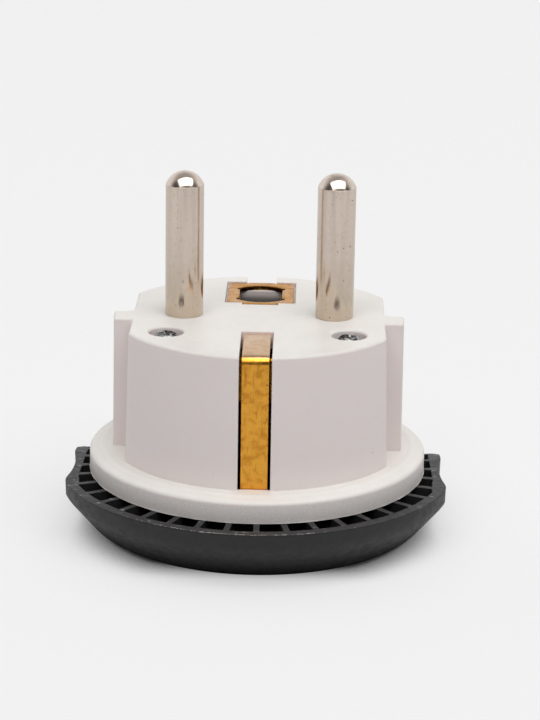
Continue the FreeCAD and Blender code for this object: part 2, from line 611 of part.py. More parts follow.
def pierce_rear_plate(owner):
    """The earth pin hole with its notches, and the two spring leaves beside it."""
    side = "(dims.leaf_spacing / 2)"
    run = "sqrt(dims.earth_hole_radius ^ 2 - %s ^ 2)" % side
    low = "(dims.earth_hole_y - %s)" % run
    high = "(dims.earth_hole_y + %s)" % run
    hole = sketch(owner, "earth_hole_outline", "XY_Plane", STRAP_TOP)
    loop(hole, [(side, low), (side, high),
                ("arc", "0", "dims.earth_hole_y + dims.earth_hole_radius"), ("-" + side, high),
                ("-" + side, low),
                ("arc", "0", "dims.earth_hole_y - dims.earth_hole_radius")])
    pocket(owner, hole, "earth_hole", "dims.strap_thickness")
    notches = sketch(owner, "leaf_notch_outline", "XY_Plane", STRAP_TOP)
    for sign in ("", "-"):
        outer = "%s(%s + dims.leaf_notch)" % (sign, side)
        rectangle(notches, sign + side, outer, low, "dims.earth_hole_y - dims.leaf_length / 2")
        rectangle(notches, sign + side, outer, "dims.earth_hole_y + dims.leaf_length / 2", high)
    pocket(owner, notches, "leaf_notches", "dims.strap_thickness")
    foot = "(%s - dims.leaf_reach)" % STRAP_UNDER
    middle = "(%s - dims.leaf_reach * 2 / 3)" % STRAP_UNDER
    leaves = sketch(owner, "leaf_fold", "XZ_Plane", "-dims.earth_hole_y")
    for sign in ("", "-"):
        near = sign + side
        far = "%s(%s + dims.strap_thickness)" % (sign, side)
        bow = ("+" if sign else "-") + " dims.leaf_bow"
        loop(leaves, [(near, STRAP_TOP), (far, STRAP_TOP), (far, STRAP_UNDER),
                      ("%s %s" % (far, bow), middle), (far, foot), (near, foot),
                      ("%s %s" % (near, bow), middle), (near, STRAP_UNDER)])
    pad(owner, leaves, "leaves", "dims.leaf_length", True)


def earth_bridge():
    """The strip inside that joins the two earth straps."""
    owner = body("earth_bridge")
    thickness = "dims.strap_thickness"
    front = "(-dims.strap_slot_end - dims.strap_gap)"
    back = "dims.tongue_front"
    under = BRIDGE_TOP + " - " + thickness
    folded = sketch(owner, "bridge_fold", "YZ_Plane")
    loop(folded, [(front, TAB_FOOT), (front, BRIDGE_TOP),
                  (back, BRIDGE_TOP), (back, TAB_FOOT),
                  (back + " - " + thickness, TAB_FOOT),
                  (back + " - " + thickness, under), (front + " + " + thickness, under),
                  (front + " + " + thickness, TAB_FOOT)])
    pad(owner, folded, "bridge_strip", "dims.bridge_width", True)
    bend_strip(owner, "bridge_bend",
               [(value(front), value(BRIDGE_TOP), 1, "dims.strip_bend"),
                (value(back), value(BRIDGE_TOP), -1, "dims.strip_bend")])
    rivet_hole(owner, "bridge_hole", "-" + OUTSIDE, "2 * " + OUTSIDE)
    return owner


def rivet(place, joint):
    """A rivet along Y through two strips that meet at a joint plane."""
    owner = body(place + "_rivet")
    grip = "dims.strap_thickness"
    end = "(%s + dims.rivet_head_height)" % grip
    out, drop = dome("dims.rivet_head_radius", "dims.rivet_head_height")
    turned = sketch(owner, place + "_rivet_profile", "XZ_Plane")
    loop(turned, [("0", "-" + end), ("arc", out, "-(%s - %s)" % (end, drop)),
                  ("dims.rivet_head_radius", "-" + grip), ("dims.rivet_radius", "-" + grip),
                  ("dims.rivet_radius", grip), ("dims.rivet_head_radius", grip),
                  ("arc", out, "%s - %s" % (end, drop)), ("0", end)])
    revolve(owner, turned, place + "_rivet_turned")
    owner.Placement = FreeCAD.Placement(
        VECTOR(0, 0, 0), FreeCAD.Rotation(VECTOR(1, 0, 0), FULL_TURN / 4))
    owner.setExpression("Placement.Base.y", joint)
    owner.setExpression("Placement.Base.z", RIVET_LEVEL)
    return owner


def screw(side, sign):
    """A cross-recessed screw from the plug face down into the cover's boss."""
    owner = body(side + "_screw")
    tip = "(%s - dims.shank_length)" % HEAD_SEAT
    easing = "dims.head_round * (1 - cos(45))"
    turned = sketch(owner, side + "_screw_profile", "XZ_Plane")
    loop(turned, [("0", tip), ("dims.shank_radius / 2", tip),
                  ("dims.shank_radius", tip + " + dims.shank_radius"),
                  ("dims.shank_radius", HEAD_SEAT), ("dims.head_radius", HEAD_SEAT),
                  ("dims.head_radius", HEAD_TOP + " - dims.head_round"),
                  ("arc", "dims.head_radius - " + easing, HEAD_TOP + " - " + easing),
                  ("dims.head_radius - dims.head_round", HEAD_TOP), ("0", HEAD_TOP)])
    revolve(owner, turned, side + "_screw_turned")
    for name, width, length in (("across", "dims.recess_span", "dims.recess_width"),
                                ("along", "dims.recess_width", "dims.recess_span")):
        cross = sketch(owner, "%s_cross_%s_outline" % (side, name), "XY_Plane", HEAD_TOP)
        rectangle(cross, "-%s / 2" % width, "%s / 2" % width,
                  "-%s / 2" % length, "%s / 2" % length)
        pocket(owner, cross, "%s_cross_%s" % (side, name), "dims.recess_depth")
    owner.setExpression("Placement.Base.x", sign + "dims.screw_x")
    owner.setExpression("Placement.Base.y", "-dims.screw_y")
    return owner


def joined(kind, name, parts):
    """A boolean of several objects."""
    made = doc.addObject(kind, name)
    if kind == "Part::Cut":
        made.Base, made.Tool = parts
    else:
        made.Shapes = parts
    made.Label = name
    doc.recompute()
    return made


def cover_outside():
    """The outside of the cover: a dished dome with finger grips and a falling rear rim."""
    owner = body("cover_dome")
    reach = "(dims.cover_band - dims.cover_corner)"
    upright = COVER_UPRIGHT
    belly = ("((%s ^ 2 + %s ^ 2 - dims.cover_corner ^ 2) / (2 * (%s - dims.cover_corner)))"
             % (reach, upright, upright))
    turn = "atan(%s / (%s - %s))" % (reach, belly, upright)
    joint_x = "%s + %s * sin(%s)" % (COVER_FLAT, belly, turn)
    joint_z = "%s * (1 - cos(%s))" % (belly, turn)
    half = "(%s / 2)" % turn
    rest = "(45 deg + %s / 2)" % turn
    turned = sketch(owner, "dome_profile", "XZ_Plane")
    loop(turned, [("0", "0"), (COVER_FLAT, "0"),
                  ("arc", "%s + %s * sin(%s)" % (COVER_FLAT, belly, half),
                   "%s * (1 - cos(%s))" % (belly, half)),
                  (joint_x, joint_z),
                  ("arc", "dims.cover_radius - dims.cover_corner * (1 - sin(%s))" % rest,
                   "%s - dims.cover_corner * cos(%s)" % (upright, rest)),
                  ("dims.cover_radius", upright), ("dims.cover_radius", "dims.rim_level"),
                  ("0", "dims.rim_level")])
    revolve(owner, turned, "dome")
    grips = sketch(owner, "grip_outline", "XY_Plane", "dims.rim_level")
    for sign in ("", "-"):
        loop(grips, grip_points(sign))
    cut = pocket(owner, grips, "grips", "dims.rim_level")
    cut.setExpression("TaperAngle", "-dims.grip_draft")
    doc.recompute()
    fall = sketch(owner, "rear_fall_outline", "YZ_Plane")
    loop(fall, rear_fall_points())
    pocket(owner, fall, "rear_fall", "2 * " + OUTSIDE, True, True)
    return owner


def grip_points(sign):
    """One finger grip seen from above: a rounded shoulder, a hollow and a straight end."""
    centre = "(%s + dims.grip_radius)" % GRIP_WAIST
    away = "sqrt(%s ^ 2 + dims.grip_waist_y ^ 2)" % centre
    ease = "dims.grip_round"
    inner = "(dims.cover_radius - %s)" % ease
    outer = "(dims.grip_radius + %s)" % ease
    along = "((%s ^ 2 - %s ^ 2 + %s ^ 2) / (2 * %s))" % (inner, outer, away, away)
    aside = "sqrt(%s ^ 2 - %s ^ 2)" % (inner, along)
    ease_x = "((%s * %s + %s * dims.grip_waist_y) / %s)" % (along, centre, aside, away)
    ease_y = "((%s * dims.grip_waist_y - %s * %s) / %s)" % (along, aside, centre, away)
    rim_turn = "atan2(%s; %s)" % (ease_y, ease_x)
    hollow_turn = "atan2(dims.grip_waist_y - %s; %s - %s)" % (ease_y, centre, ease_x)
    middle_turn = "((%s + %s) / 2)" % (rim_turn, hollow_turn)
    bend = "sqrt(dims.grip_radius ^ 2 - (dims.grip_radius - dims.grip_flare) ^ 2)"
    shoulder = [(sign + "(%s + %s * cos(%s))" % (ease_x, ease, turn),
                 "%s + %s * sin(%s)" % (ease_y, ease, turn))
                for turn in (rim_turn, middle_turn, hollow_turn)]
    return [shoulder[0], ("arc",) + shoulder[1], shoulder[2],
            ("arc", sign + GRIP_WAIST, "dims.grip_waist_y"),
            (sign + GRIP_SIDE, "dims.grip_waist_y + " + bend),
            (sign + GRIP_SIDE, "dims.grip_end"), (sign + OUTSIDE, "dims.grip_end"),
            (sign + OUTSIDE, shoulder[0][1])]


def rear_fall_points():
    """The outline above the rim that rolls down behind the axis to the lower rear rim."""
    centre_y = "(dims.rear_crease - dims.rear_curve * sin(dims.rear_start))"
    centre_z = "(dims.rim_level - dims.rear_curve * cos(dims.rear_start))"
    end = "acos((%s - %s) / dims.rear_curve)" % (REAR_RIM, centre_z)
    middle = "((dims.rear_start * 1 deg + %s) / 2)" % end
    return [("dims.rear_crease", "dims.rim_level"),
            ("arc", "%s + dims.rear_curve * sin(%s)" % (centre_y, middle),
             "%s + dims.rear_curve * cos(%s)" % (centre_z, middle)),
            ("%s + dims.rear_curve * sin(%s)" % (centre_y, end), REAR_RIM),
            (OUTSIDE, REAR_RIM), (OUTSIDE, FACE), ("dims.rear_crease", FACE)]


def cover_hollow():
    """The space inside the cover's wall, above its floor."""
    owner = body("cover_hollow")
    inside = "(dims.cover_radius - dims.cover_wall)"
    corner = "dims.cover_inner_corner"
    turned = sketch(owner, "hollow_profile", "XZ_Plane")
    loop(turned, [("0", "dims.cover_floor"), (inside + " - " + corner, "dims.cover_floor"),
                  ("arc", "%s - %s * (1 - sin(45))" % (inside, corner),
                   "dims.cover_floor + %s * (1 - cos(45))" % corner),
                  (inside, "dims.cover_floor + " + corner), (inside, FACE), ("0", FACE)])
    revolve(owner, turned, "hollow")
    sides = sketch(owner, "grip_inside_outline", "XY_Plane", FACE)
    for sign in ("", "-"):
        rectangle(sides, sign + GRIP_INSIDE, sign + OUTSIDE, "-" + OUTSIDE, OUTSIDE)
    pocket(owner, sides, "grip_inside", FACE)
    return owner


def cover_ribs(outside):
    """The radial ribs, trimmed by the outside of the cover."""
    ribs = []
    for index in range(int(round(value("dims.rib_count")))):
        rib = doc.addObject("Part::Box", "rib_%d" % index)
        turn = "(dims.rib_turn + %d * %g / dims.rib_count)" % (index, FULL_TURN)
        rib.setExpression("Length", "dims.cover_radius - dims.ring_radius + dims.ring_wall / 2")
        rib.setExpression("Width", "dims.rib_width")
        rib.setExpression("Height", "dims.rim_level - dims.cover_floor / 2")
        start = "(dims.ring_radius - dims.ring_wall / 2)"
        rib.Placement.Rotation = FreeCAD.Rotation(VECTOR(0, 0, 1), 0)
        rib.setExpression("Placement.Rotation.Angle", turn)
        rib.setExpression("Placement.Base.x", "%s * cos(%s) + dims.rib_width / 2 * sin(%s)"
                          % (start, turn, turn))
        rib.setExpression("Placement.Base.y", "%s * sin(%s) - dims.rib_width / 2 * cos(%s)"
                          % (start, turn, turn))
        rib.setExpression("Placement.Base.z", "dims.cover_floor / 2")
        ribs.append(rib)
    row = joined("Part::MultiFuse", "rib_row", ribs)
    return joined("Part::MultiCommon", "trimmed_ribs", [row, outside])


def cover_furniture():
    """The ring under the flange, the screw bosses, the pin pillars and the slot tubes."""
    owner = body("cover_furniture")
    base = "dims.cover_floor / 2"
    ring = sketch(owner, "ring_outline", "XY_Plane", base)
    circle(ring, "0", "0", "dims.ring_radius")
    circle(ring, "0", "0", "dims.ring_radius - dims.ring_wall")
    pad(owner, ring, "ring", "dims.rim_level - " + base)
    bosses = sketch(owner, "boss_outline", "XY_Plane", base)
    pillars = sketch(owner, "pillar_outline", "XY_Plane", base)
    plate = sketch(owner, "furniture_base_outline", "XY_Plane", base)
    circle(plate, "0", "0", "dims.ring_radius - dims.ring_wall / 2")
    pad(owner, plate, "furniture_base", base)
    tubes = sketch(owner, "tube_outline", "XY_Plane", base)
    towers = sketch(owner, "tower_outline", "XY_Plane", base)
    half_round = "(dims.round_slot_radius + dims.tube_wall)"
    half_earth = "(dims.earth_slot_width / 2)"
    tower_front = "-(%s - dims.tower_clearance)" % CAVITY_RADIUS
    tower_back = "-(dims.strap_slot_end + dims.tower_clearance)"
    for sign in ("", "-"):
        circle(bosses, sign + "dims.screw_x", "-dims.screw_y", "dims.boss_radius")
        circle(pillars, sign + PIN_X, "0", "dims.pillar_radius")
        rectangle(tubes, "%s(%s - %s)" % (sign, PIN_X, half_round),
                  "%s(dims.line_offset + dims.line_slot_length / 2 + dims.tube_wall)" % sign,
                  "dims.line_row - " + half_round, "dims.line_row + " + half_round)
        rectangle(towers, sign + half_earth, "%s(%s + dims.tube_wall)" % (sign, half_earth),
                  tower_front, tower_back)
    rectangle(tubes, "-(%s + dims.tube_wall)" % half_earth, "%s + dims.tube_wall" % half_earth,
              EARTH_ROW + " - dims.earth_slot_length / 2 - dims.tube_wall",
              EARTH_ROW + " + dims.earth_slot_length / 2 + dims.tube_wall")
    pad(owner, bosses, "bosses", "dims.boss_level - " + base)
    pad(owner, pillars, "pillars",
        "%s - dims.tail_head_height - dims.pin_clearance - %s" % (SPRING_UNDER, base))
    pad(owner, tubes, "tubes", "dims.rim_level - " + base)
    pad(owner, towers, "towers", "%s - dims.tower_drop - %s" % (CEILING, base))
    return owner


def slot_cutters():
    """What is cut through the cover: the slots with their lead-ins and the screw holes."""
    owner = body("slot_cutters")
    half_line = "(dims.line_slot_length / 2 + %s)"
    slots = sketch(owner, "slot_outline", "XY_Plane")
    mouths = sketch(owner, "slot_mouth_outline", "XY_Plane")
    rounds = sketch(owner, "round_slot_outline", "XY_Plane")
    round_mouths = sketch(owner, "round_mouth_outline", "XY_Plane")
    pilots = sketch(owner, "pilot_outline", "XY_Plane",
                    HEAD_SEAT + " - dims.shank_length - dims.shank_radius")
    for target, grown in ((slots, "0"), (mouths, "dims.slot_chamfer")):
        for sign in ("", "-"):
            rectangle(target, "%s(dims.line_offset - %s)" % (sign, half_line % grown),
                      "%s(dims.line_offset + %s)" % (sign, half_line % grown),
                      "dims.line_row - dims.line_slot_width / 2 - " + grown,
                      "dims.line_row + dims.line_slot_width / 2 + " + grown)
        rectangle(target, "-(dims.earth_slot_width / 2 + %s)" % grown,
                  "dims.earth_slot_width / 2 + " + grown,
                  EARTH_ROW + " - dims.earth_slot_length / 2 - " + grown,
                  EARTH_ROW + " + dims.earth_slot_length / 2 + " + grown)
    for sign in ("", "-"):
        circle(rounds, sign + PIN_X, "dims.line_row", "dims.round_slot_radius")
        circle(round_mouths, sign + PIN_X, "dims.line_row",
               "dims.round_slot_radius + dims.slot_chamfer")
        circle(pilots, sign + "dims.screw_x", "-dims.screw_y",
               "dims.shank_radius + dims.screw_clearance")
    pad(owner, slots, "slots", FACE)
    for name, outline in (("slot_mouths", mouths), ("round_mouths", round_mouths)):
        flare = pad(owner, outline, name, "dims.slot_chamfer")
        flare.TaperAngle = -FULL_TURN / 8
        doc.recompute()
    pad(owner, rounds, "round_slots", FACE)
    pad(owner, pilots, "pilots", FACE)
    return owner


def socket_cover():
    """The dark moulding: dished cover, ribs, furniture, and the slots of the socket face."""
    dome_body = cover_outside()
    shell = joined("Part::Cut", "cover_shell", [dome_body, cover_hollow()])
    whole = joined("Part::MultiFuse", "cover_whole",
                   [shell, cover_ribs(dome_body), cover_furniture()])
    return joined("Part::Cut", "socket_cover", [whole, slot_cutters()])


FRONT_JOINT = "-dims.strap_slot_end - dims.strap_gap"
subparts = [plug_housing(), socket_cover(), front_earth_strap(), rear_earth_strap(),
            earth_bridge(), rivet("front", FRONT_JOINT), rivet("rear", "dims.tongue_front")]
for side, sign in (("left", "-"), ("right", "")):
    subparts.append(pin(side, sign))
    subparts.append(screw(side, sign))
    for place in ("front", "rear"):
        subparts.append(line_spring(side, sign, place))
doc.recompute()

for thing in doc.Objects:
    if "Invalid" in thing.State or "Error" in thing.State:
        raise RuntimeError("%s failed: %s" % (thing.Label, thing.State))
for subpart in subparts:
    if subpart.Shape.isNull() or not subpart.Shape.isValid():
        raise RuntimeError("%s has no valid shape" % subpart.Label)

os.makedirs("parts", exist_ok=True)
for subpart in subparts:
    subpart.Shape.exportStep("parts/%s.step" % subpart.Label)
    print(subpart.Label, len(subpart.Shape.Solids), round(subpart.Shape.Volume, 2))
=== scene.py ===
import math
import random

import bmesh
import bpy
from mathutils import Matrix, Vector, noise
from mathutils.bvhtree import BVHTree


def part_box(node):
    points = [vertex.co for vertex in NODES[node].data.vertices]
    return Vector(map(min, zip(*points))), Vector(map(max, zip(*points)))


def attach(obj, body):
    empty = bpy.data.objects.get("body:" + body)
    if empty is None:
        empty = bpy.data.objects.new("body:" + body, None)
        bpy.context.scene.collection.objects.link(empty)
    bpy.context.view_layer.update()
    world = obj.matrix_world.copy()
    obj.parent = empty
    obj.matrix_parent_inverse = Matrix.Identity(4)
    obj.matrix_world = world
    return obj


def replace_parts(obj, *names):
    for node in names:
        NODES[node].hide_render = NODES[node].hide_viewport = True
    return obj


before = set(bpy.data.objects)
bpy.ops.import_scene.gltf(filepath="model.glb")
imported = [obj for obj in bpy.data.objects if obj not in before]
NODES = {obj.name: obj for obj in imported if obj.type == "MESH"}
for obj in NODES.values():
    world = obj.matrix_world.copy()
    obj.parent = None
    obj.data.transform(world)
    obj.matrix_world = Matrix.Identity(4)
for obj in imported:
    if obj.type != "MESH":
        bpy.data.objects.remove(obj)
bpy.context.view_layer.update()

bl_info = {
    "name": "Plug Adapter Dressing",
    "version": (1, 0, 0),
    "blender": (4, 5, 0),
    "location": "View3D > Sidebar > Plug Adapter",
    "description": "Finishes and fine pieces for a round earthed plug adapter",
    "category": "Object",
}

MM = 0.001
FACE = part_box("plug_housing")[1].z
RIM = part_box("plug_housing")[0].z
FLANGE_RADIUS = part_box("plug_housing")[1].x
INNER_METAL = ("left_front_spring", "left_rear_spring", "right_front_spring",
               "right_rear_spring", "earth_bridge", "front_rivet", "rear_rivet")
CROSS_TURNS = {"left_screw": 0.35, "right_screw": -0.2}  # of the screws' crosses, in radians
FROM_THE_SIDE = ((0, 1, 0), (0, 0, 1), (0, 0, 0))  # an outline's two directions and its middle

COVER_CORE = 17.4 * MM  # inside this radius the cover's mesh stays as it is
COVER_SKIN = 0.03 * MM  # what lies this near the outer wall is part of it
COVER_GIVE = 1.4 * MM  # a wall further inside the outline than this isn't the outer one
COVER_EDGE = 0.5 * MM  # longest edge of the refined wall


def length(name, millimetres, description):
    """A length property with its default in millimetres."""
    return bpy.props.FloatProperty(name=name, description=description, min=0.0,
                                   default=millimetres * MM, precision=5,
                                   subtype="DISTANCE", unit="LENGTH")


def angle(name, degrees, description):
    """An angle property with its default in degrees."""
    return bpy.props.FloatProperty(name=name, description=description,
                                   default=math.radians(degrees), subtype="ANGLE")


def fraction(name, default, description):
    """A property between 0 and 1."""
    return bpy.props.FloatProperty(name=name, description=description, default=default,
                                   min=0.0, max=1.0, subtype="FACTOR")


def colour(name, shade, description):
    """A colour property, linear."""
    return bpy.props.FloatVectorProperty(name=name, description=description, size=3,
                                         default=shade, min=0.0, max=1.0, subtype="COLOR")


class PlugAdapterPinSizes(bpy.types.PropertyGroup):
    """Sizes of the two turned plug pins."""

    shank_radius: length("Shank radius", 2.4, "Radius of the pin above the plug face")
    cap_height: length("Cap height", 1.65, "Height of the domed tip")
    cap_edge: length("Cap edge", 0.05, "Step in radius where the dome starts")
    neck_radius: length("Neck radius", 2.2, "Radius inside the plug face")
    face_wall: length("Face wall", 2.2, "Thickness of the plug face")
    collar_radius: length("Collar radius", 3.5, "Radius of the collar under the plug face")
    collar_height: length("Collar height", 1.5, "Height of the collar")
    tail_radius: length("Tail radius", 1.5, "Radius of the tail through the springs")
    tail_head_radius: length("Tail head radius", 2.2, "Radius of the closed tail")
    tail_head_height: length("Tail head height", 0.8, "Height of the closed tail")
    turned_edge: length("Turned edge", 0.08, "Rounding of the turned edges")


class PlugAdapterScrewSizes(bpy.types.PropertyGroup):
    """Sizes of the two housing screws."""

    head_sink: length("Head sink", 0.15, "Depth of the head below the plug face")
    head_radius: length("Head radius", 1.55, "Radius of the head")
    head_height: length("Head height", 2.35, "Height of the head")
    head_round: length("Head rounding", 0.8, "Rounding of the head's upper edge")
    shank_radius: length("Shank radius", 1.05, "Outer radius of the thread")
    thread_depth: length("Thread depth", 0.12, "Depth of the thread")
    thread_pitch: length("Thread pitch", 1.0, "Rise of the thread in one turn")
    recess_span: length("Recess span", 1.9, "Span of the cross recess at the top")
    recess_width: length("Recess width", 0.45, "Width of the cross recess at the top")
    recess_depth: length("Recess depth", 0.9, "Depth of the cross recess")


class PlugAdapterStrapSizes(bpy.types.PropertyGroup):
    """Sizes of the front and rear earth straps."""

    thickness: length("Thickness", 0.6, "Thickness of the brass strip")
    sheared_edge: length("Sheared edge", 0.09, "Rounding of the strip's long edges")
    leg_width: length("Leg width", 3.35, "Width of the legs and of the front strap")
    outer_bend: length("Outer bend", 1.1, "Outer radius of the bends at the body")
    slant: angle("Slant", 45.0, "Slope of the rear leg's upper part")
    inner_bend: length("Inner bend", 0.9, "Outer radius of the bends inside the body")
    contact_level: length("Contact level", 14.5, "Level where the front strap's leg is bowed")
    contact_bow: length("Contact bow", 0.9, "Bow of that leg")
    fold_level: length("Fold level", 18.4, "Level where that bow starts")
    inner_foot: length("Inner foot", 11.0, "Lower end of that leg")
    plate_front: length("Plate front", 5.75, "Front edge of the rear plate")
    plate_back: length("Plate back", 15.3, "Rear edge of the rear plate")
    plate_round: length("Plate rounding", 0.7, "Rounding of the plate's corners")
    tongue_width: length("Tongue width", 4.4, "Width of the plate's front tongue")
    hole_place: length("Hole place", 10.1, "Centre of the earth pin hole behind the pins")
    hole_radius: length("Hole radius", 3.9, "Radius of the earth pin hole")
    leaf_spacing: length("Leaf spacing", 5.6, "Distance between the spring leaves")
    leaf_notch: length("Leaf notch", 0.3, "Relief notch beside each leaf")
    leaf_length: length("Leaf length", 4.1, "Length of the leaves along the plate")
    leaf_reach: length("Leaf reach", 6.5, "Reach of the leaves below the plate")
    leaf_bow: length("Leaf bow", 1.15, "Inward bow of the leaves")
    rivet_level: length("Rivet level", 20.6, "Level of the rivets")
    rivet_hole: length("Rivet hole", 1.04, "Radius of the rivet holes")


class PlugAdapterCoverSizes(bpy.types.PropertyGroup):
    """Sizes of the outside of the dished socket cover."""

    radius: length("Radius", 25.3, "Outer radius of the rim")
    band: length("Band", 0.8, "Height of the upright band under the rim")
    corner: length("Corner", 3.0, "Curve under that band")
    slope: angle("Slope", 50.0, "Slope of the straight underside")
    foot: length("Foot", 4.0, "Curve between the underside and the socket face")
    wall: length("Wall", 1.6, "Depth of the wall that keeps its thickness")
    inside: length("Inside", 6.0, "Depth where the inside starts to follow the wall")
    grip_depth: length("Grip depth", 1.9, "Depth of the finger grip's waist")
    grip_waist: length("Grip waist", 0.9, "Place of that waist in front of the axis")
    grip_radius: length("Grip radius", 23.5, "Radius of the grip's hollow")
    grip_flare: length("Grip flare", 0.45, "Reach of its straight part beyond the waist")
    grip_draft: angle("Grip draft", 1.5, "Slope of the grip's wall")
    grip_round: length("Grip rounding", 5.5, "Rounding of the grip's front shoulder")


class PlugAdapterMouldingSizes(bpy.types.PropertyGroup):
    """Sizes of what the moulds leave on the two mouldings."""

    edge_round: length("Edge rounding", 0.16, "Softness of the moulded edges")
    flange_top: length("Flange top", 10.53, "Level of the flange's top")
    flange_crest: length("Flange crest", 19.5, "Radius where the flange's top starts to fall")
    flange_fall: length("Flange fall", 0.5, "Fall of the flange's top to its edge")
    flange_corner: length("Flange corner", 0.55, "Rounding of the flange's upper corner")
    flash_reach: length("Flash reach", 0.1, "Reach of the flash round the flange")
    flash_thickness: length("Flash thickness", 0.06, "Thickness of that flash")
    burr_length: length("Burr length", 0.34, "Length of the largest burr on the rim")
    burr_count: bpy.props.IntProperty(name="Burrs", description="Burrs on the front rim",
                                      default=80, min=0)


class PlugAdapterFinishes(bpy.types.PropertyGroup):
    """Colours of the plastics and metals."""

    white: colour("White", (0.78, 0.748, 0.712), "Colour of the plug housing")
    dark: colour("Dark", (0.013, 0.013, 0.014), "Colour of the socket cover")
    burr: colour("Burr", (0.62, 0.61, 0.6), "Colour of the torn plastic on the rim")
    nickel: colour("Nickel", (0.80, 0.675, 0.585), "Colour of the pins' plating")
    brass: colour("Brass", (0.90, 0.43, 0.06), "Colour of the earth straps and springs")
    steel: colour("Steel", (0.52, 0.52, 0.51), "Colour of the screws")
    floor: colour("Floor", (0.863, 0.863, 0.863), "Colour of the floor and the background")


class PlugAdapterStage(bpy.types.PropertyGroup):
    """The camera, the floor and the light."""

    aim: bpy.props.FloatVectorProperty(name="Aim", description="Point in the picture's centre",
                                       default=(1.467 * MM, 0.0, 21.527 * MM), precision=5,
                                       subtype="TRANSLATION", unit="LENGTH")
    distance: length("Distance", 321.15, "Distance of the camera from that point")
    azimuth: angle("Azimuth", 0.8478, "Camera's turn to the right")
    elevation: angle("Elevation", 17.2864, "Camera's height angle")
    roll: angle("Roll", 0.9376, "Camera's turn about its own axis")
    lens: bpy.props.FloatProperty(name="Focal length", description="Focal length in mm",
                                  default=126.103, subtype="DISTANCE_CAMERA")
    lamp_power: bpy.props.FloatProperty(name="Softbox power", description="Power in watts",
                                        default=440.0, min=0.0, subtype="POWER")
    lamp_turn: angle("Softbox azimuth", 12.0, "Softbox's turn to the right")
    lamp_height: angle("Softbox elevation", 65.0, "Softbox's height angle")
    lamp_distance: length("Softbox distance", 6000.0, "Distance of the softbox from the part")
    lamp_width: length("Softbox width", 9000.0, "Width of the softbox")
    lamp_length: length("Softbox length", 5600.0, "Length of the softbox")
    floor_radius: length("Floor radius", 2000.0, "Radius of the round floor")
    shadow_lift: fraction("Shadow lift", 0.5, "How far the floor's shadow is lifted")
    room: fraction("Room light", 0.86, "Level of the pale surroundings")


# Node trees


def node(tree, kind, inputs=None, **settings):
    """A node with its settings, and its inputs given as values or as sockets to link."""
    made = tree.nodes.new(kind)
    for name, setting in settings.items():
        setattr(made, name, setting)
    for name, source in (inputs or {}).items():
        if isinstance(source, bpy.types.NodeSocket):
            tree.links.new(source, made.inputs[name])
        else:
            made.inputs[name].default_value = source
    return made


def number(tree, operation, first, second=0.0):
    """The result of a sum on numbers."""
    return node(tree, "ShaderNodeMath", {0: first, 1: second}, operation=operation).outputs[0]


def times(tree, *factors):
    """The product of numbers and masks."""
    product = factors[0]
    for factor in factors[1:]:
        product = number(tree, "MULTIPLY", product, factor)
    return product


def split(tree, vector):
    """The parts X, Y and Z of a vector."""
    return node(tree, "ShaderNodeSeparateXYZ", {"Vector": vector}).outputs


def spread(tree, source, low, high, to_low=0.0, to_high=1.0):
    """A number carried from one range to another, and held inside it."""
    return node(tree, "ShaderNodeMapRange", {"Value": source, "From Min": low, "From Max": high,
                                             "To Min": to_low, "To Max": to_high},
                interpolation_type="SMOOTHSTEP").outputs["Result"]


def blend(tree, factor, first, second):
    """Two colours mixed by a factor."""
    made = node(tree, "ShaderNodeMix", data_type="RGBA")
    for index, source in ((0, factor), (6, first), (7, second)):
        if isinstance(source, bpy.types.NodeSocket):
            tree.links.new(source, made.inputs[index])
        elif index:
            made.inputs[index].default_value = (*source, 1.0)
        else:
            made.inputs[index].default_value = source
    return made.outputs[2]


def place(tree):
    """The point on the part, in metres, in the part's own frame."""
    return node(tree, "ShaderNodeTexCoord").outputs["Object"]


def around_hole(tree, spot, centre, half_width, half_length):
    """A mask of a box about the earth pin hole's middle, seen from above."""
    aside = number(tree, "ABSOLUTE", spot["X"])
    away = number(tree, "ABSOLUTE", number(tree, "SUBTRACT", spot["Y"], centre))
    return times(tree, number(tree, "LESS_THAN", aside, half_width),
                 number(tree, "LESS_THAN", away, half_length))


def stretched(tree, scale, turn=(0.0, 0.0, 0.0)):
    """The point on the part with each direction scaled and turned by itself."""
    return node(tree, "ShaderNodeMapping", {"Vector": place(tree), "Scale": scale,
                                            "Rotation": turn}).outputs["Vector"]


def grain(tree, size, detail=2.0, vector=None, distortion=0.0):
    """Noise with a grain size in metres."""
    return node(tree, "ShaderNodeTexNoise",
                {"Vector": vector or place(tree), "Scale": 1.0 / size, "Detail": detail,
                 "Distortion": distortion}).outputs["Fac"]


def uneven(tree, size, detail, low, high):
    """A number that wanders between two values, with a grain size in metres."""
    return spread(tree, grain(tree, size, detail), 0.3, 0.7, low, high)


def specks(tree, spacing, radius, kept):
    """A mask of small round specks: their spacing and radius, and the share of them kept."""
    cells = node(tree, "ShaderNodeTexVoronoi", {"Vector": place(tree), "Scale": 1.0 / spacing})
    near = number(tree, "LESS_THAN", cells.outputs["Distance"], radius / spacing)
    chosen = node(tree, "ShaderNodeSeparateColor", {"Color": cells.outputs["Color"]})
    return times(tree, near, number(tree, "LESS_THAN", chosen.outputs["Red"], kept))


def bumped(tree, height, depth, normal=None):
    """A normal that follows a height map of a depth in metres."""
    inputs = {"Height": height, "Strength": 1.0, "Distance": depth}
    if normal is not None:
        inputs["Normal"] = normal
    return node(tree, "ShaderNodeBump", inputs).outputs["Normal"]


def finish(name):
    """A new material's node tree with its shader: the material, the tree, the shader."""
    material = bpy.data.materials.new(name)
    material.use_nodes = True
    tree = material.node_tree
    tree.nodes.clear()
    shader = node(tree, "ShaderNodeBsdfPrincipled")
    node(tree, "ShaderNodeOutputMaterial", {"Surface": shader.outputs["BSDF"]})
    return material, tree, shader


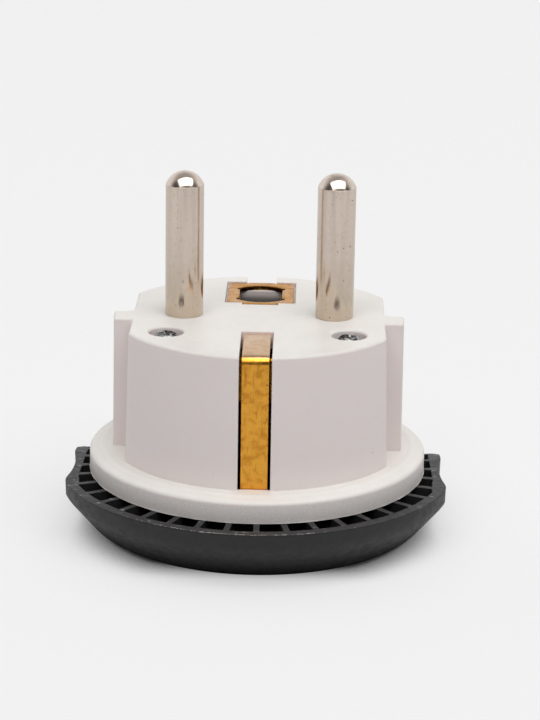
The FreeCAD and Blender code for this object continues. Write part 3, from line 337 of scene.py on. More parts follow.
def feed(tree, shader, **sources):
    """Link or set the shader's inputs by name, with _ for a space."""
    for name, source in sources.items():
        socket = shader.inputs[name.replace("_", " ")]
        if isinstance(source, bpy.types.NodeSocket):
            tree.links.new(source, socket)
        else:
            socket.default_value = source


# Finishes


def tinted(shade, *shares):
    """A colour times one share, or times a share for each of its channels."""
    return [part * each for part, each in zip(shade, shares * 3)]


def soft_edges(tree, radius):
    """The normal with moulded edges rounded off."""
    return node(tree, "ShaderNodeBevel", {"Radius": radius}, samples=6).outputs["Normal"]


def white_moulding(shade, edge, hole):
    """Satin white plastic: flow tones, painted warm light on the upright sides, painted shade low
    on the flange and in the earth pin well, specks.
    """
    material, tree, shader = finish("white_moulding")
    spot = split(tree, place(tree))
    facing = split(tree, node(tree, "ShaderNodeNewGeometry").outputs["Normal"])
    tone = spread(tree, grain(tree, 7.0 * MM, 3.0), 0.35, 0.7)
    flow = blend(tree, tone, shade, tinted(shade, 0.955))
    # Painted warm light: upright faces get a warmer tint than the flat ones.
    upright = spread(tree, number(tree, "ABSOLUTE", facing["Z"]), 0.7, 0.2)
    painted_warm_sides = blend(tree, upright, flow, tinted(shade, 1.03, 0.975, 1.0))
    # Painted shade: the flange's side below its top is darkened, broken up by fine grain.
    low = spread(tree, spot["Z"], 10.3 * MM, 9.3 * MM)
    painted_flange_shade = blend(tree, times(tree, low, uneven(tree, 0.2 * MM, 3.0, 0.3, 1.0)), painted_warm_sides,
                    tinted(shade, 0.84))
    # Painted shade: the earth pin well is darkened inside, below the plug face.
    painted_well_shade = times(tree, around_hole(tree, spot, hole, 3.6 * MM, 4.4 * MM),
                 spread(tree, spot["Z"], FACE - MM, FACE - 2 * MM))
    hollow = blend(tree, painted_well_shade, painted_flange_shade, tinted(shade, 0.25))
    dust = times(tree, specks(tree, 3.6 * MM, 0.085 * MM, 0.16), 0.75)
    dots = times(tree, specks(tree, 1.7 * MM, 0.05 * MM, 0.1), 0.5)
    dusty = blend(tree, dust, hollow, (0.16, 0.13, 0.11))
    dotted = blend(tree, dots, dusty, (0.25, 0.24, 0.23))
    fine = bumped(tree, grain(tree, 0.16 * MM, 3.0), 0.006 * MM, soft_edges(tree, edge))
    feed(tree, shader, Base_Color=dotted, Roughness=uneven(tree, 1.1 * MM, 4.0, 0.36, 0.5),
         Normal=bumped(tree, grain(tree, 2.6 * MM), 0.012 * MM, fine), IOR=1.5,
         Subsurface_Weight=0.12, Subsurface_Radius=(1.0, 0.85, 0.75),
         Subsurface_Scale=0.6 * MM)
    return material


def dark_moulding(shade, edge):
    """Dark grained plastic: drag marks on the ribs, dust, a dark line at the rim, painted shade
    and a weaker reflection at the foot.
    """
    material, tree, shader = finish("dark_moulding")
    height = split(tree, place(tree))["Z"]
    tone = spread(tree, grain(tree, 5.0 * MM, 4.0), 0.3, 0.75)
    base = blend(tree, tone, shade, tinted(shade, 1.25))
    streaks = grain(tree, 1.0, 5.0, stretched(tree, (900.0, 2600.0, 900.0), (0.0, 0.0, 0.3)))
    patches = spread(tree, grain(tree, 1.6 * MM), 0.5, 0.62)
    on_top = spread(tree, height, RIM - 0.06 * MM, RIM - 0.01 * MM)
    dragged = blend(tree, times(tree, spread(tree, streaks, 0.56, 0.7), patches, on_top), base,
                    (0.34, 0.34, 0.35))
    dust = times(tree, specks(tree, 1.9 * MM, 0.045 * MM, 0.12), 0.7)
    dusty = blend(tree, dust, dragged, (0.5, 0.49, 0.47))
    line = times(tree, spread(tree, height, RIM - 0.2 * MM, RIM - 0.14 * MM),
                 spread(tree, height, RIM - 0.06 * MM, RIM - 0.1 * MM), 0.85)
    lined = blend(tree, line, dusty, (0.002, 0.002, 0.002))
    # Painted shade towards the foot: darker colour here, and a weaker reflection in the shader
    # below.
    clear_of_foot_shade = spread(tree, height, 0.2 * MM, 4.5 * MM)
    foot_shaded = blend(tree, clear_of_foot_shade, tinted(shade, 0.3), lined)
    fine = bumped(tree, grain(tree, 0.14 * MM, 3.0), 0.008 * MM, soft_edges(tree, edge))
    feed(tree, shader, Base_Color=foot_shaded, Roughness=uneven(tree, 0.9 * MM, 4.0, 0.4, 0.54),
         Normal=bumped(tree, streaks, 0.02 * MM, fine), IOR=1.5,
         Specular_IOR_Level=times(tree, clear_of_foot_shade, 0.5))
    return material


def nickel_plating(shade):
    """Warm worn plating: lengthwise marks, brown low down that is part tarnish and part painted
    reflection of the brass below, and many fine dark pits.
    """
    material, tree, shader = finish("nickel_plating")
    along = grain(tree, 1.0, 6.0, stretched(tree, (1500.0, 1500.0, 60.0)))
    clouds = grain(tree, 2.6 * MM, 4.0, distortion=0.4)
    fine = grain(tree, 0.5 * MM, 5.0)
    streaked = blend(tree, spread(tree, along, 0.38, 0.7, 0.0, 0.4), shade, tinted(shade, 0.78))
    # Brown low down: part tarnish, part painted reflection of the brass and dark parts below.
    wandering = number(tree, "ADD", split(tree, place(tree))["Z"], times(tree, clouds, 9.0 * MM))
    low = spread(tree, wandering, FACE + 3.0 * MM, FACE + 17.0 * MM, 0.8, 0.0)
    brown_tarnish_and_reflection = blend(tree, low, streaked, tinted(shade, 0.72, 0.72, 0.64))
    cloudy = blend(tree, spread(tree, fine, 0.45, 0.75, 0.0, 0.6), brown_tarnish_and_reflection,
                   tinted(shade, 0.82, 0.84, 0.86))
    pits = number(tree, "MAXIMUM", specks(tree, 0.3 * MM, 0.05 * MM, 0.35),
                  specks(tree, 0.8 * MM, 0.1 * MM, 0.22))
    gathered = times(tree, pits, spread(tree, grain(tree, 1.9 * MM, 3.0), 0.4, 0.64, 0.08, 0.9))
    pitted = blend(tree, gathered, cloudy, (0.11, 0.07, 0.05))
    rough = number(tree, "ADD", spread(tree, along, 0.3, 0.75, 0.12, 0.22),
                   times(tree, gathered, 0.3))
    marks = bumped(tree, along, 0.004 * MM)
    feed(tree, shader, Base_Color=pitted, Metallic=1.0, Roughness=rough,
         Normal=bumped(tree, fine, 0.002 * MM, marks))
    return material


def rolled_brass(shade):
    """Rolled brass strip: tarnish, crossing scratches, pits, a painted pale reflection on the
    front strap's top, and darker towards the rear.
    """
    material, tree, shader = finish("rolled_brass")
    spot = split(tree, place(tree))
    mottle = grain(tree, 1.0 * MM, 7.0, distortion=0.5)
    worn = blend(tree, spread(tree, mottle, 0.42, 0.72, 0.0, 0.7), shade,
                 tinted(shade, 0.72, 0.6, 0.45))
    fall = grain(tree, 1.0, 3.0, stretched(tree, (3200.0, 3200.0, 420.0), (0.0, 0.6, 0.2)), 0.4)
    rise = grain(tree, 1.0, 3.0, stretched(tree, (3000.0, 3000.0, 360.0), (0.0, -0.8, 0.5)), 0.4)
    lines = number(tree, "MAXIMUM", spread(tree, fall, 0.6, 0.68), spread(tree, rise, 0.62, 0.7))
    scratched = blend(tree, times(tree, lines, 0.5), worn, tinted(shade, 0.55, 0.42, 0.3))
    pits = number(tree, "MAXIMUM", specks(tree, 0.4 * MM, 0.045 * MM, 0.2),
                  specks(tree, 1.3 * MM, 0.11 * MM, 0.12))
    pitted = blend(tree, times(tree, pits, 0.75), scratched, (0.12, 0.05, 0.015))
    # Painted reflection: the top of the front strap turned pale.
    painted_top_reflection = times(tree, spread(tree, spot["Z"], FACE - 0.5 * MM, FACE - 0.2 * MM),
                   spread(tree, spot["Y"], -2.0 * MM, -6.0 * MM), 0.75)
    pale = blend(tree, painted_top_reflection, pitted, (0.66, 0.5, 0.36))
    # Darker towards the rear.
    behind = spread(tree, spot["Y"], 2.0 * MM, 4.0 * MM, 0.0, 0.5)
    darker_behind = blend(tree, behind, pale, (0.42, 0.2, 0.06))
    rolled = bumped(tree, fall, 0.006 * MM)
    feed(tree, shader, Base_Color=darker_behind, Metallic=1.0,
         Roughness=spread(tree, mottle, 0.35, 0.75, 0.22, 0.4),
         Normal=bumped(tree, mottle, 0.01 * MM, rolled))
    return material


def brown_cuts_and_shade_hole(material, centre, reach, top):
    """Brown the punched edges, and paint shade on the leaves down inside the earth pin hole."""
    tree = material.node_tree
    shader = tree.nodes["Principled BSDF"]
    spot = split(tree, place(tree))
    # The punched edges browned, and painted shade on the leaves below the plate.
    cut = times(tree, around_hole(tree, spot, centre, reach, reach),
                spread(tree, spot["Z"], top - 0.14 * MM, top - 0.06 * MM, 1.0, 0.0),
                spread(tree, grain(tree, 0.5 * MM, 3.0), 0.3, 0.62, 0.96, 0.7))
    brass = shader.inputs["Base Color"].links[0].from_socket
    feed(tree, shader, Base_Color=blend(tree, cut, brass, (0.035, 0.016, 0.007)))
    return material


def screw_steel(shade):
    """Grey plated steel with patches of dark dirt."""
    material, tree, shader = finish("screw_steel")
    dirt = spread(tree, grain(tree, 0.45 * MM, 5.0), 0.42, 0.62)
    feed(tree, shader, Base_Color=blend(tree, dirt, shade, (0.03, 0.036, 0.04)), Metallic=1.0,
         Roughness=uneven(tree, 0.3 * MM, 3.0, 0.22, 0.45),
         Normal=bumped(tree, grain(tree, 0.2 * MM, 3.0), 0.01 * MM))
    return material


def torn_plastic(shade):
    """The pale torn plastic of burrs."""
    material, tree, shader = finish("torn_plastic")
    tone = blend(tree, grain(tree, 0.3 * MM, 3.0), shade, tinted(shade, 0.6))
    feed(tree, shader, Base_Color=tone, Roughness=0.7,
         Normal=bumped(tree, grain(tree, 0.05 * MM), 0.01 * MM))
    return material


def pale_floor(shade, lift):
    """The matte floor: the camera sees it glow, so that its shadow is lifted.

    The glow fades where the part hangs over the floor, but not in front of the part. In the
    open the light that the floor returns and the glow add up to the floor's colour.
    """
    material, tree, shader = finish("pale_floor")
    returned = 0.75
    dull = tinted(shade, returned)
    tone = blend(tree, grain(tree, 0.3), dull, tinted(dull, 0.995))
    feed(tree, shader, Base_Color=tone, Roughness=0.9, Specular_IOR_Level=0.0)
    sky = node(tree, "ShaderNodeAmbientOcclusion", {"Distance": 8 * MM}, samples=8)
    open_air = spread(tree, sky.outputs["AO"], 0.06, 0.58)
    ahead = spread(tree, split(tree, place(tree))["Y"], -15 * MM, -22 * MM)
    bright = times(tree, number(tree, "MAXIMUM", open_air, ahead),
                   (1 - returned * (1 - lift)) / lift)
    glow = node(tree, "ShaderNodeEmission", {"Color": (*shade, 1.0), "Strength": bright})
    direct = node(tree, "ShaderNodeLightPath").outputs["Is Camera Ray"]
    mixed = node(tree, "ShaderNodeMixShader", {0: times(tree, direct, lift),
                                               1: shader.outputs["BSDF"],
                                               2: glow.outputs["Emission"]})
    tree.links.new(mixed.outputs["Shader"], tree.nodes["Material Output"].inputs["Surface"])
    return material


# Meshes


def eased(corners, closed=True, steps=5):
    """An outline through corners (x, y, radius), with each corner rounded by its radius."""
    points = []
    for index, (x, y, radius) in enumerate(corners):
        here = Vector((x, y))
        if radius == 0.0 or (not closed and index in (0, len(corners) - 1)):
            points.append(here)
            continue
        before = (Vector(corners[index - 1][:2]) - here).normalized()
        after = (Vector(corners[(index + 1) % len(corners)][:2]) - here).normalized()
        half = before.angle(after) / 2
        centre = here + (before + after).normalized() * (radius / math.sin(half))
        start = (here + before * (radius / math.tan(half)) - centre).normalized()
        end = (here + after * (radius / math.tan(half)) - centre).normalized()
        for step in range(steps + 1):
            points.append(centre + start.slerp(end, step / steps) * radius)
    return points


def put(name, data):
    """An object in the scene for a mesh, a lamp or a camera."""
    thing = bpy.data.objects.new(name, data)
    bpy.context.scene.collection.objects.link(thing)
    return thing


def show(name, mesh, material):
    """An object for a mesh, smooth but for its sharp edges, that rides on the part."""
    piece = put(name, mesh)
    mesh.shade_smooth()
    mesh.set_sharp_from_angle(angle=math.radians(32))
    mesh.materials.clear()
    mesh.materials.append(material)
    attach(piece, "root")
    return piece


def mesh_of(name, build):
    """A mesh from a bmesh that has been built, cleaned and closed."""
    bmesh.ops.remove_doubles(build, verts=build.verts, dist=1e-7)
    bmesh.ops.recalc_face_normals(build, faces=build.faces)
    mesh = bpy.data.meshes.new(name)
    build.to_mesh(mesh)
    build.free()
    return mesh


def turned(name, profile, centre, sides=96):
    """A solid turned from an open profile (radius, height) that starts and ends on the axis."""
    build = bmesh.new()
    rings = []
    for radius, height in profile:
        count = 1 if radius < 1e-7 else sides
        rings.append([build.verts.new((centre.x + radius * math.cos(math.tau * k / sides),
                                       centre.y + radius * math.sin(math.tau * k / sides),
                                       height)) for k in range(count)])
    for low, high in zip(rings, rings[1:]):
        for k in range(sides):
            after = (k + 1) % sides
            corners = [low[k % len(low)], low[after % len(low)],
                       high[after % len(high)], high[k % len(high)]]
            build.faces.new(list(dict.fromkeys(corners)))
    return mesh_of(name, build)


def pressed(name, outlines, width, edge, across, up, middle):
    """Strip metal: flat outlines drawn along two directions, raised to a width about a middle."""
    curve = bpy.data.curves.new(name, "CURVE")
    curve.dimensions = "2D"
    curve.fill_mode = "BOTH"
    curve.extrude = (width / 2 - edge) / MM
    curve.bevel_depth = edge / MM
    curve.bevel_resolution = 1
    curve.offset = -edge / MM
    for outline in outlines:
        spline = curve.splines.new("POLY")
        spline.points.add(len(outline) - 1)
        for spot, (x, y) in zip(spline.points, outline):
            spot.co = (x / MM, y / MM, 0.0, 1.0)
        spline.use_cyclic_u = True
    drawn = bpy.data.objects.new(name, curve)
    mesh = bpy.data.meshes.new_from_object(drawn)
    bpy.data.objects.remove(drawn)
    across, up = Vector(across), Vector(up)
    turn = Matrix((across, up, across.cross(up))).transposed().to_4x4()
    mesh.transform(Matrix.Translation(middle) @ turn @ Matrix.Scale(MM, 4))
    build = bmesh.new()
    build.from_mesh(mesh)
    bpy.data.meshes.remove(mesh)
    return mesh_of(name, build)


def combined(name, base, others, operation):
    """A mesh joined with others, or cut by them."""
    piece = put(name, base)
    tools = [put(name + "_tool", other) for other in others]
    for tool in tools:
        step = piece.modifiers.new("step", "BOOLEAN")
        step.object = tool
        step.operation = operation
        step.solver = "EXACT"
    bpy.context.view_layer.update()
    seen = piece.evaluated_get(bpy.context.evaluated_depsgraph_get())
    mesh = bpy.data.meshes.new_from_object(seen)
    for thing in (piece, *tools):
        bpy.data.objects.remove(thing)
    return mesh


def paint(names, material):
    """Give CAD nodes a finish."""
    for name in names:
        slot = NODES[name].material_slots[0]
        slot.link = "OBJECT"
        slot.material = material


# Pieces


def pin_profile(sizes, foot, top):
    """A plug pin's profile from its closed tail to its domed tip."""
    ceiling = FACE - sizes.face_wall
    shoulder = top - sizes.cap_height
    brim = sizes.shank_radius - sizes.cap_edge
    edge = sizes.turned_edge
    profile = eased([
        (0.0, foot, 0.0), (sizes.tail_head_radius, foot, 3 * edge),
        (sizes.tail_head_radius, foot + sizes.tail_head_height, edge),
        (sizes.tail_radius, foot + sizes.tail_head_height, 0.0),
        (sizes.tail_radius, ceiling - sizes.collar_height, 0.0),
        (sizes.collar_radius, ceiling - sizes.collar_height, edge),
        (sizes.collar_radius, ceiling, 0.0), (sizes.neck_radius, ceiling, 0.0),
        (sizes.neck_radius, FACE, 0.0), (sizes.shank_radius, FACE, edge),
        (sizes.shank_radius, shoulder, edge / 2), (brim, shoulder, 0.0)], closed=False)
    ball = (brim ** 2 + sizes.cap_height ** 2) / (2 * sizes.cap_height)
    widest, steps = math.asin(brim / ball), 14
    for step in range(1, steps + 1):
        turn = widest * (1 - step / steps)
        profile.append(Vector((ball * math.sin(turn), top - ball + ball * math.cos(turn))))
    return profile


def screw_profile(sizes, tip, top):
    """A screw's profile from its tip to the middle of its head."""
    seat = top - sizes.head_height
    core = sizes.shank_radius - sizes.thread_depth
    corners = [(0.0, tip, 0.0), (core / 2, tip, 0.0)]
    turns = int((seat - tip - 2 * sizes.shank_radius) / sizes.thread_pitch)
    for turn in range(turns):
        low = tip + sizes.shank_radius + turn * sizes.thread_pitch
        corners += [(core, low, 0.0), (core, low + 0.55 * sizes.thread_pitch, 0.0),
                    (sizes.shank_radius, low + 0.77 * sizes.thread_pitch, 0.0)]
    corners += [(core, seat - sizes.thread_pitch / 2, 0.0), (core, seat, 0.0),
                (sizes.head_radius, seat, 0.03 * MM),
                (sizes.head_radius, top, sizes.head_round), (0.0, top, 0.0)]
    return eased(corners, closed=False, steps=6)


def cross_recess(sizes, centre, top, turn):
    """The two tapered blades whose cross is driven into a screw's head."""
    blades = []
    for across in (0.0, math.pi / 2):
        build = bmesh.new()
        rings = []
        for level, scale in ((top + 0.2 * MM, 1.08), (top - sizes.recess_depth, 0.55)):
            ring = []
            for x, y in ((-1, -1), (1, -1), (1, 1), (-1, 1)):
                spot = Vector((x * sizes.recess_span / 2 * scale,
                               y * sizes.recess_width / 2 * (0.5 + scale / 2), level))
                spot.rotate(Matrix.Rotation(across + turn, 3, "Z"))
                ring.append(build.verts.new(centre + spot))
            rings.append(ring)
        upper, lower = rings
        build.faces.new(upper)
        build.faces.new(lower)
        for k in range(4):
            after = (k + 1) % 4
            build.faces.new((upper[k], lower[k], lower[after], upper[after]))
        blades.append(mesh_of("blade", build))
    return blades


def front_strap_outline(sizes, low, high):
    """The front strap's fold, seen from its side: (y, z) corners."""
    face, end = low.y, high.y
    top, thickness = high.z, sizes.thickness
    inner = sizes.outer_bend - thickness
    turn = sizes.inner_bend - thickness
    bow = sizes.contact_bow
    return eased([
        (face, low.z, 0.0), (face, top, sizes.outer_bend), (end, top, sizes.inner_bend),
        (end, sizes.fold_level, 0.0), (end - bow, sizes.contact_level, thickness),
        (end, sizes.inner_foot, 0.0), (end - thickness, sizes.inner_foot, 0.0),
        (end - thickness - bow, sizes.contact_level, thickness),
        (end - thickness, sizes.fold_level, 0.0), (end - thickness, top - thickness, turn),
        (face + thickness, top - thickness, inner), (face + thickness, low.z, 0.0)])


def rear_leg_outline(sizes, low, high):
    """The rear leg's fold, seen from its side: a slant off the plate, then straight down."""
    thickness = sizes.thickness
    faces = []
    for face, level, radius in ((high.y, high.z, sizes.outer_bend),
                                (high.y - thickness, high.z - thickness,
                                 sizes.outer_bend - thickness)):
        shoulder = sizes.plate_back + radius * math.tan(sizes.slant / 2)
        knee = level - (face - shoulder) * math.tan(sizes.slant)
        faces.append([(sizes.plate_back - sizes.outer_bend, level, 0.0),
                      (shoulder, level, radius), (face, knee, radius), (face, low.z, 0.0)])
    outer, inner = faces
    return eased(inner + outer[::-1])


def tongue_outline(sizes, low, high):
    """The tongue's fold, seen from its side: off the plate's front edge and down."""
    top, under = high.z, high.z - sizes.thickness
    root = sizes.plate_front + 2 * sizes.sheared_edge
    back = low.y + sizes.thickness
    return eased([(root, top, 0.0), (low.y, top, sizes.inner_bend),
                  (low.y, sizes.fold_level, 0.0), (back, sizes.fold_level, 0.0),
                  (back, under, sizes.inner_bend - sizes.thickness), (root, under, 0.0)])


def leaf_outline(sizes, top, sign):
    """A spring leaf's bow, seen from the front, at the right or the left of the hole."""
    thickness, under = sizes.thickness, top - sizes.thickness
    near = sizes.leaf_spacing / 2
    bow = near - sizes.leaf_bow
    deep, middle = under - sizes.leaf_reach, under - sizes.leaf_reach * 2 / 3
    return eased([(sign * x, z, radius) for x, z, radius in (
        (near, top, 0.0), (near + thickness, top, 0.0),
        (near + thickness, under, 0.0), (bow + thickness, middle, thickness),
        (near + thickness, deep, 0.0), (near, deep, 0.0), (bow, middle, thickness))])


def plate_outlines(sizes, high):
    """The rear plate seen from above: its edge, and the earth pin hole with its notches."""
    edge = eased([(sign * high.x, y, sizes.plate_round) for sign, y in (
        (-1, sizes.plate_front), (1, sizes.plate_front), (1, sizes.plate_back),
        (-1, sizes.plate_back))])
    side = sizes.leaf_spacing / 2
    centre, radius = sizes.hole_place, sizes.hole_radius
    reach = math.asin(side / radius)
    run = radius * math.cos(reach)
    leaf, notch = sizes.leaf_length / 2, side + sizes.leaf_notch
    steps = 8
    hole = []
    for sign in (1, -1):
        for step in range(-steps, steps + 1):
            turn = reach * step / steps
            hole.append((sign * radius * math.sin(turn), centre + sign * radius * math.cos(turn)))
        for x, y in ((notch, run), (notch, leaf), (side, leaf), (side, -leaf),
                     (notch, -leaf), (notch, -run)):
            hole.append((sign * x, centre + sign * y))
    return edge, hole


def drill(name, mesh, centre, radius, depth):
    """A mesh with a round hole along Y through it."""
    cutter = turned("drill", [(0.0, -depth), (radius, -depth), (radius, depth), (0.0, depth)],
                    Vector((0.0, 0.0, 0.0)), sides=32)
    cutter.transform(Matrix.Translation(centre) @ Matrix.Rotation(math.pi / 2, 4, "X"))
    return combined(name, mesh, [cutter], "DIFFERENCE")


def ringed(name, outline_at, sides=720):
    """A closed ring: its outline (radius, height) at each turn, joined all the way round."""
    build = bmesh.new()
    rings = []
    for k in range(sides):
        turn = math.tau * k / sides
        way = Vector((math.cos(turn), math.sin(turn), 0.0))
        rings.append([build.verts.new(way * far + Vector((0.0, 0.0, level)))
                      for far, level in outline_at(way)])
    for here, after in zip(rings, rings[1:] + rings[:1]):
        for side in range(len(here)):
            beside = (side + 1) % len(here)
            build.faces.new((here[side], here[beside], after[beside], after[side]))
    return mesh_of(name, build)


def flange_edge_outline(sizes):
    """The flange's edge: its top falls a little outwards, then a crisp corner and the side."""
    skin = 0.01 * MM
    crest, reach = sizes.flange_crest, FLANGE_RADIUS + skin
    top, foot = sizes.flange_top, RIM + 2 * skin
    return eased([(crest, top + skin, 0.0),
                  (reach, top - sizes.flange_fall, sizes.flange_corner),
                  (reach, foot, 0.0), (reach - 0.3 * MM, foot, 0.0),
                  (crest - 0.4 * MM, top - 3.0 * sizes.flange_corner, 0.0)])


def flash_outline(sizes, way):
    """The flash's outline at one turn: a thin lip whose edge wanders in and out."""
    wander = noise.noise(way * 9.0 + Vector((3.7, 0.0, 0.0)))
    nicks = noise.noise(way * 46.0 + Vector((0.0, 3.7, 0.0)))
    share = max(0.12, 0.55 + 0.6 * wander + 0.7 * max(0.0, nicks) ** 2)
    out = FLANGE_RADIUS + sizes.flash_reach * share
    root, thickness = FLANGE_RADIUS - 0.05 * MM, sizes.flash_thickness
    return ((root, RIM + thickness * 1.4), (out, RIM + thickness),
            (out, RIM + thickness * 0.2), (root, RIM))


def dome_reach(sizes, level):
    """The cover's outer radius at a level, without its grips."""
    under = RIM - sizes.band
    if level >= under:
        return sizes.radius
    edge = sizes.radius - sizes.corner * (1 - math.sin(sizes.slope))
    edge_level = under - sizes.corner * math.cos(sizes.slope)
    if level >= edge_level:
        drop = under - level
        return sizes.radius - sizes.corner + math.sqrt(sizes.corner ** 2 - drop ** 2)
    rise = sizes.foot * (1 - math.cos(sizes.slope))
    if level >= rise:
        return edge - (edge_level - level) / math.tan(sizes.slope)
    start = edge - (edge_level - rise) / math.tan(sizes.slope)
    start -= sizes.foot * math.sin(sizes.slope)
    return start + math.sqrt(max(0.0, sizes.foot ** 2 - (sizes.foot - level) ** 2))


def circle_reach(middle, radius, way, far):
    """Where a line from the axis meets a circle: at its far side or its near one."""
    along = middle.dot(way)
    under = along ** 2 - middle.length_squared + radius ** 2
    if under < 0.0:
        return math.inf
    return along + math.sqrt(under) if far else along - math.sqrt(under)


def grip_reach(sizes, way, level):
    """How far out a finger grip lets the wall stand, in a direction and at a level.

    Seen from above and from the front on, a grip is a round shoulder, a hollow with its waist
    and a straight part. Below the rim its wall leans inwards.
    """
    way = Vector((abs(way.x), way.y))
    lean = (RIM - level) * math.tan(sizes.grip_draft)
    waist = sizes.radius - sizes.grip_depth
    middle = Vector((waist + sizes.grip_radius, -sizes.grip_waist))
    ahead = middle.normalized()
    inner = sizes.radius - sizes.grip_round
    outer = sizes.grip_radius + sizes.grip_round
    along = (inner ** 2 - outer ** 2 + middle.length_squared) / (2 * middle.length)
    aside = math.sqrt(inner ** 2 - along ** 2)
    shoulder = along * ahead + aside * Vector((ahead.y, -ahead.x))
    joint = shoulder + (middle - shoulder).normalized() * (sizes.grip_round - lean)
    turn = math.atan2(way.y, way.x)
    if turn <= math.atan2(shoulder.y, shoulder.x):
        return math.inf
    if turn < math.atan2(joint.y, joint.x):
        return circle_reach(shoulder, sizes.grip_round - lean, way, True)
    hollow = circle_reach(middle, sizes.grip_radius + lean, way, False)
    if turn < math.atan2(-sizes.grip_waist, waist) or way.x < 1e-6:
        return hollow
    return min(hollow, (waist + sizes.grip_flare - lean) / way.x)


def cover_reach(sizes, way, level):
    """The radius that the cover's wall gets, in a direction and at a level."""
    return min(dome_reach(sizes, level), grip_reach(sizes, way, level))


def solid_reach(tree, way, level):
    """The radius of the solid's own wall there, felt by rays from outside.

    Rays a little lower are tried as well, because one along a flat face can miss it.
    """
    skin, outside = 0.01 * MM, 40.0 * MM
    reach = 0.0
    for drop in (0.0, 0.02 * MM, 0.1 * MM):
        height = min(max(level - drop, skin), RIM - skin)
        hit = tree.ray_cast(way * outside + Vector((0.0, 0.0, height)), -way)[0]
        if hit:
            reach = max(reach, hit.to_2d().dot(way.to_2d()))
    return reach


def bearing(spot):
    """A point's direction from the axis, and its distance from it."""
    flat = Vector((spot.x, spot.y, 0.0))
    return flat.normalized(), flat.length


def refine_wall(build, tree, sizes):
    """Halve the long edges of the cover's outer wall, in eight rounds at most."""
    for _ in range(8):
        outer = set()
        for vert in build.verts:
            way, radius = bearing(vert.co)
            wall = solid_reach(tree, way, vert.co.z)
            new = cover_reach(sizes, way, vert.co.z)
            if radius > COVER_CORE and abs(wall - radius) < COVER_SKIN and wall > new - COVER_GIVE:
                outer.add(vert)
        long = [edge for edge in build.edges if edge.calc_length() > COVER_EDGE
                and edge.verts[0] in outer and edge.verts[1] in outer]
        if not long:
            break
        bmesh.ops.subdivide_edges(build, edges=long, cuts=1)
        bmesh.ops.triangulate(build, faces=[face for face in build.faces
                                            if len(face.verts) > 3])


def cover_mesh(sizes, source):
    """The cover, with its wall refined and set to the photographed outline.

    The wall keeps its thickness, and what stands further inside follows it less and less.
    """
    build = bmesh.new()
    spots = [build.verts.new(vert.co) for vert in source.vertices]
    for face in source.polygons:
        build.faces.new([spots[k] for k in face.vertices])
    bmesh.ops.remove_doubles(build, verts=build.verts, dist=1e-6)
    tree = BVHTree.FromBMesh(build)
    refine_wall(build, tree, sizes)
    for vert in build.verts:
        way, radius = bearing(vert.co)
        wall, new = solid_reach(tree, way, vert.co.z), cover_reach(sizes, way, vert.co.z)
        depth = wall - radius
        if radius < COVER_CORE or not -COVER_SKIN < depth < sizes.inside \
                or wall < new - COVER_GIVE:
            continue
        follow = min(1.0, (sizes.inside - depth) / (sizes.inside - sizes.wall))
        follow *= min(1.0, (radius - COVER_CORE) / MM)
        moved = new if depth < COVER_SKIN and follow == 1.0 else radius + (new - wall) * follow
        vert.co.x, vert.co.y = way.x * moved, way.y * moved
    return mesh_of("cover", build)


def rim_burr_mesh(sizes, radius, level):
    """Burrs: small torn slivers that lie along the front of the cover's rim."""
    chance = random.Random(41)
    build = bmesh.new()
    for _ in range(sizes.burr_count):
        turn = math.radians(chance.gauss(-96.0, 15.0))
        far = radius - chance.uniform(0.05, 0.16) * MM
        long = sizes.burr_length * chance.uniform(0.25, 1.0)
        wide = long * chance.uniform(0.25, 0.5)
        high = 0.05 * MM + 0.3 * wide * chance.random()
        made = bmesh.ops.create_icosphere(build, subdivisions=1, radius=0.5)
        for vert in made["verts"]:
            vert.co *= 1.0 + 0.5 * (chance.random() - 0.5)
        lie = (Matrix.Rotation(turn, 4, "Z") @ Matrix.Translation((far - wide / 2, 0.0, level))
               @ Matrix.Rotation(chance.uniform(-0.35, 0.35), 4, "Z")
               @ Matrix.Diagonal((wide, long, high, 1.0)))
        bmesh.ops.transform(build, matrix=lie, verts=made["verts"])
    return mesh_of("rim_burrs", build)


# Operators


def shade_of(context, name):
    """One of the finishes' colours."""
    return tuple(getattr(context.scene.plug_adapter_finishes, name))


class PLUGADAPTER_OT_housing(bpy.types.Operator):
    """Finish the white housing, with the edge and the flash of its flange"""

    bl_idname = "plug_adapter.housing"
    bl_label = "White housing"

    def execute(self, context):
        moulding = context.scene.plug_adapter_moulding
        white = white_moulding(shade_of(context, "white"), moulding.edge_round,
                               context.scene.plug_adapter_straps.hole_place)
        paint(["plug_housing"], white)
        edge = flange_edge_outline(moulding)
        show("flange_edge", ringed("flange_edge", lambda way: edge), white)
        flash = ringed("flange_flash", lambda way: flash_outline(moulding, way))
        show("flange_flash", flash, white)
        return {"FINISHED"}


class PLUGADAPTER_OT_cover(bpy.types.Operator):
    """Set the dark socket cover's wall to its outline and lay the burrs on its rim"""

    bl_idname = "plug_adapter.cover"
    bl_label = "Socket cover"

    def execute(self, context):
        moulding = context.scene.plug_adapter_moulding
        sizes = context.scene.plug_adapter_cover
        dark = dark_moulding(shade_of(context, "dark"), moulding.edge_round)
        mesh = cover_mesh(sizes, NODES["socket_cover"].data)
        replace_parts(show("cover_dished", mesh, dark), "socket_cover")
        if moulding.burr_count:
            burrs = rim_burr_mesh(moulding, sizes.radius, RIM)
            show("rim_burrs", burrs, torn_plastic(shade_of(context, "burr")))
        return {"FINISHED"}


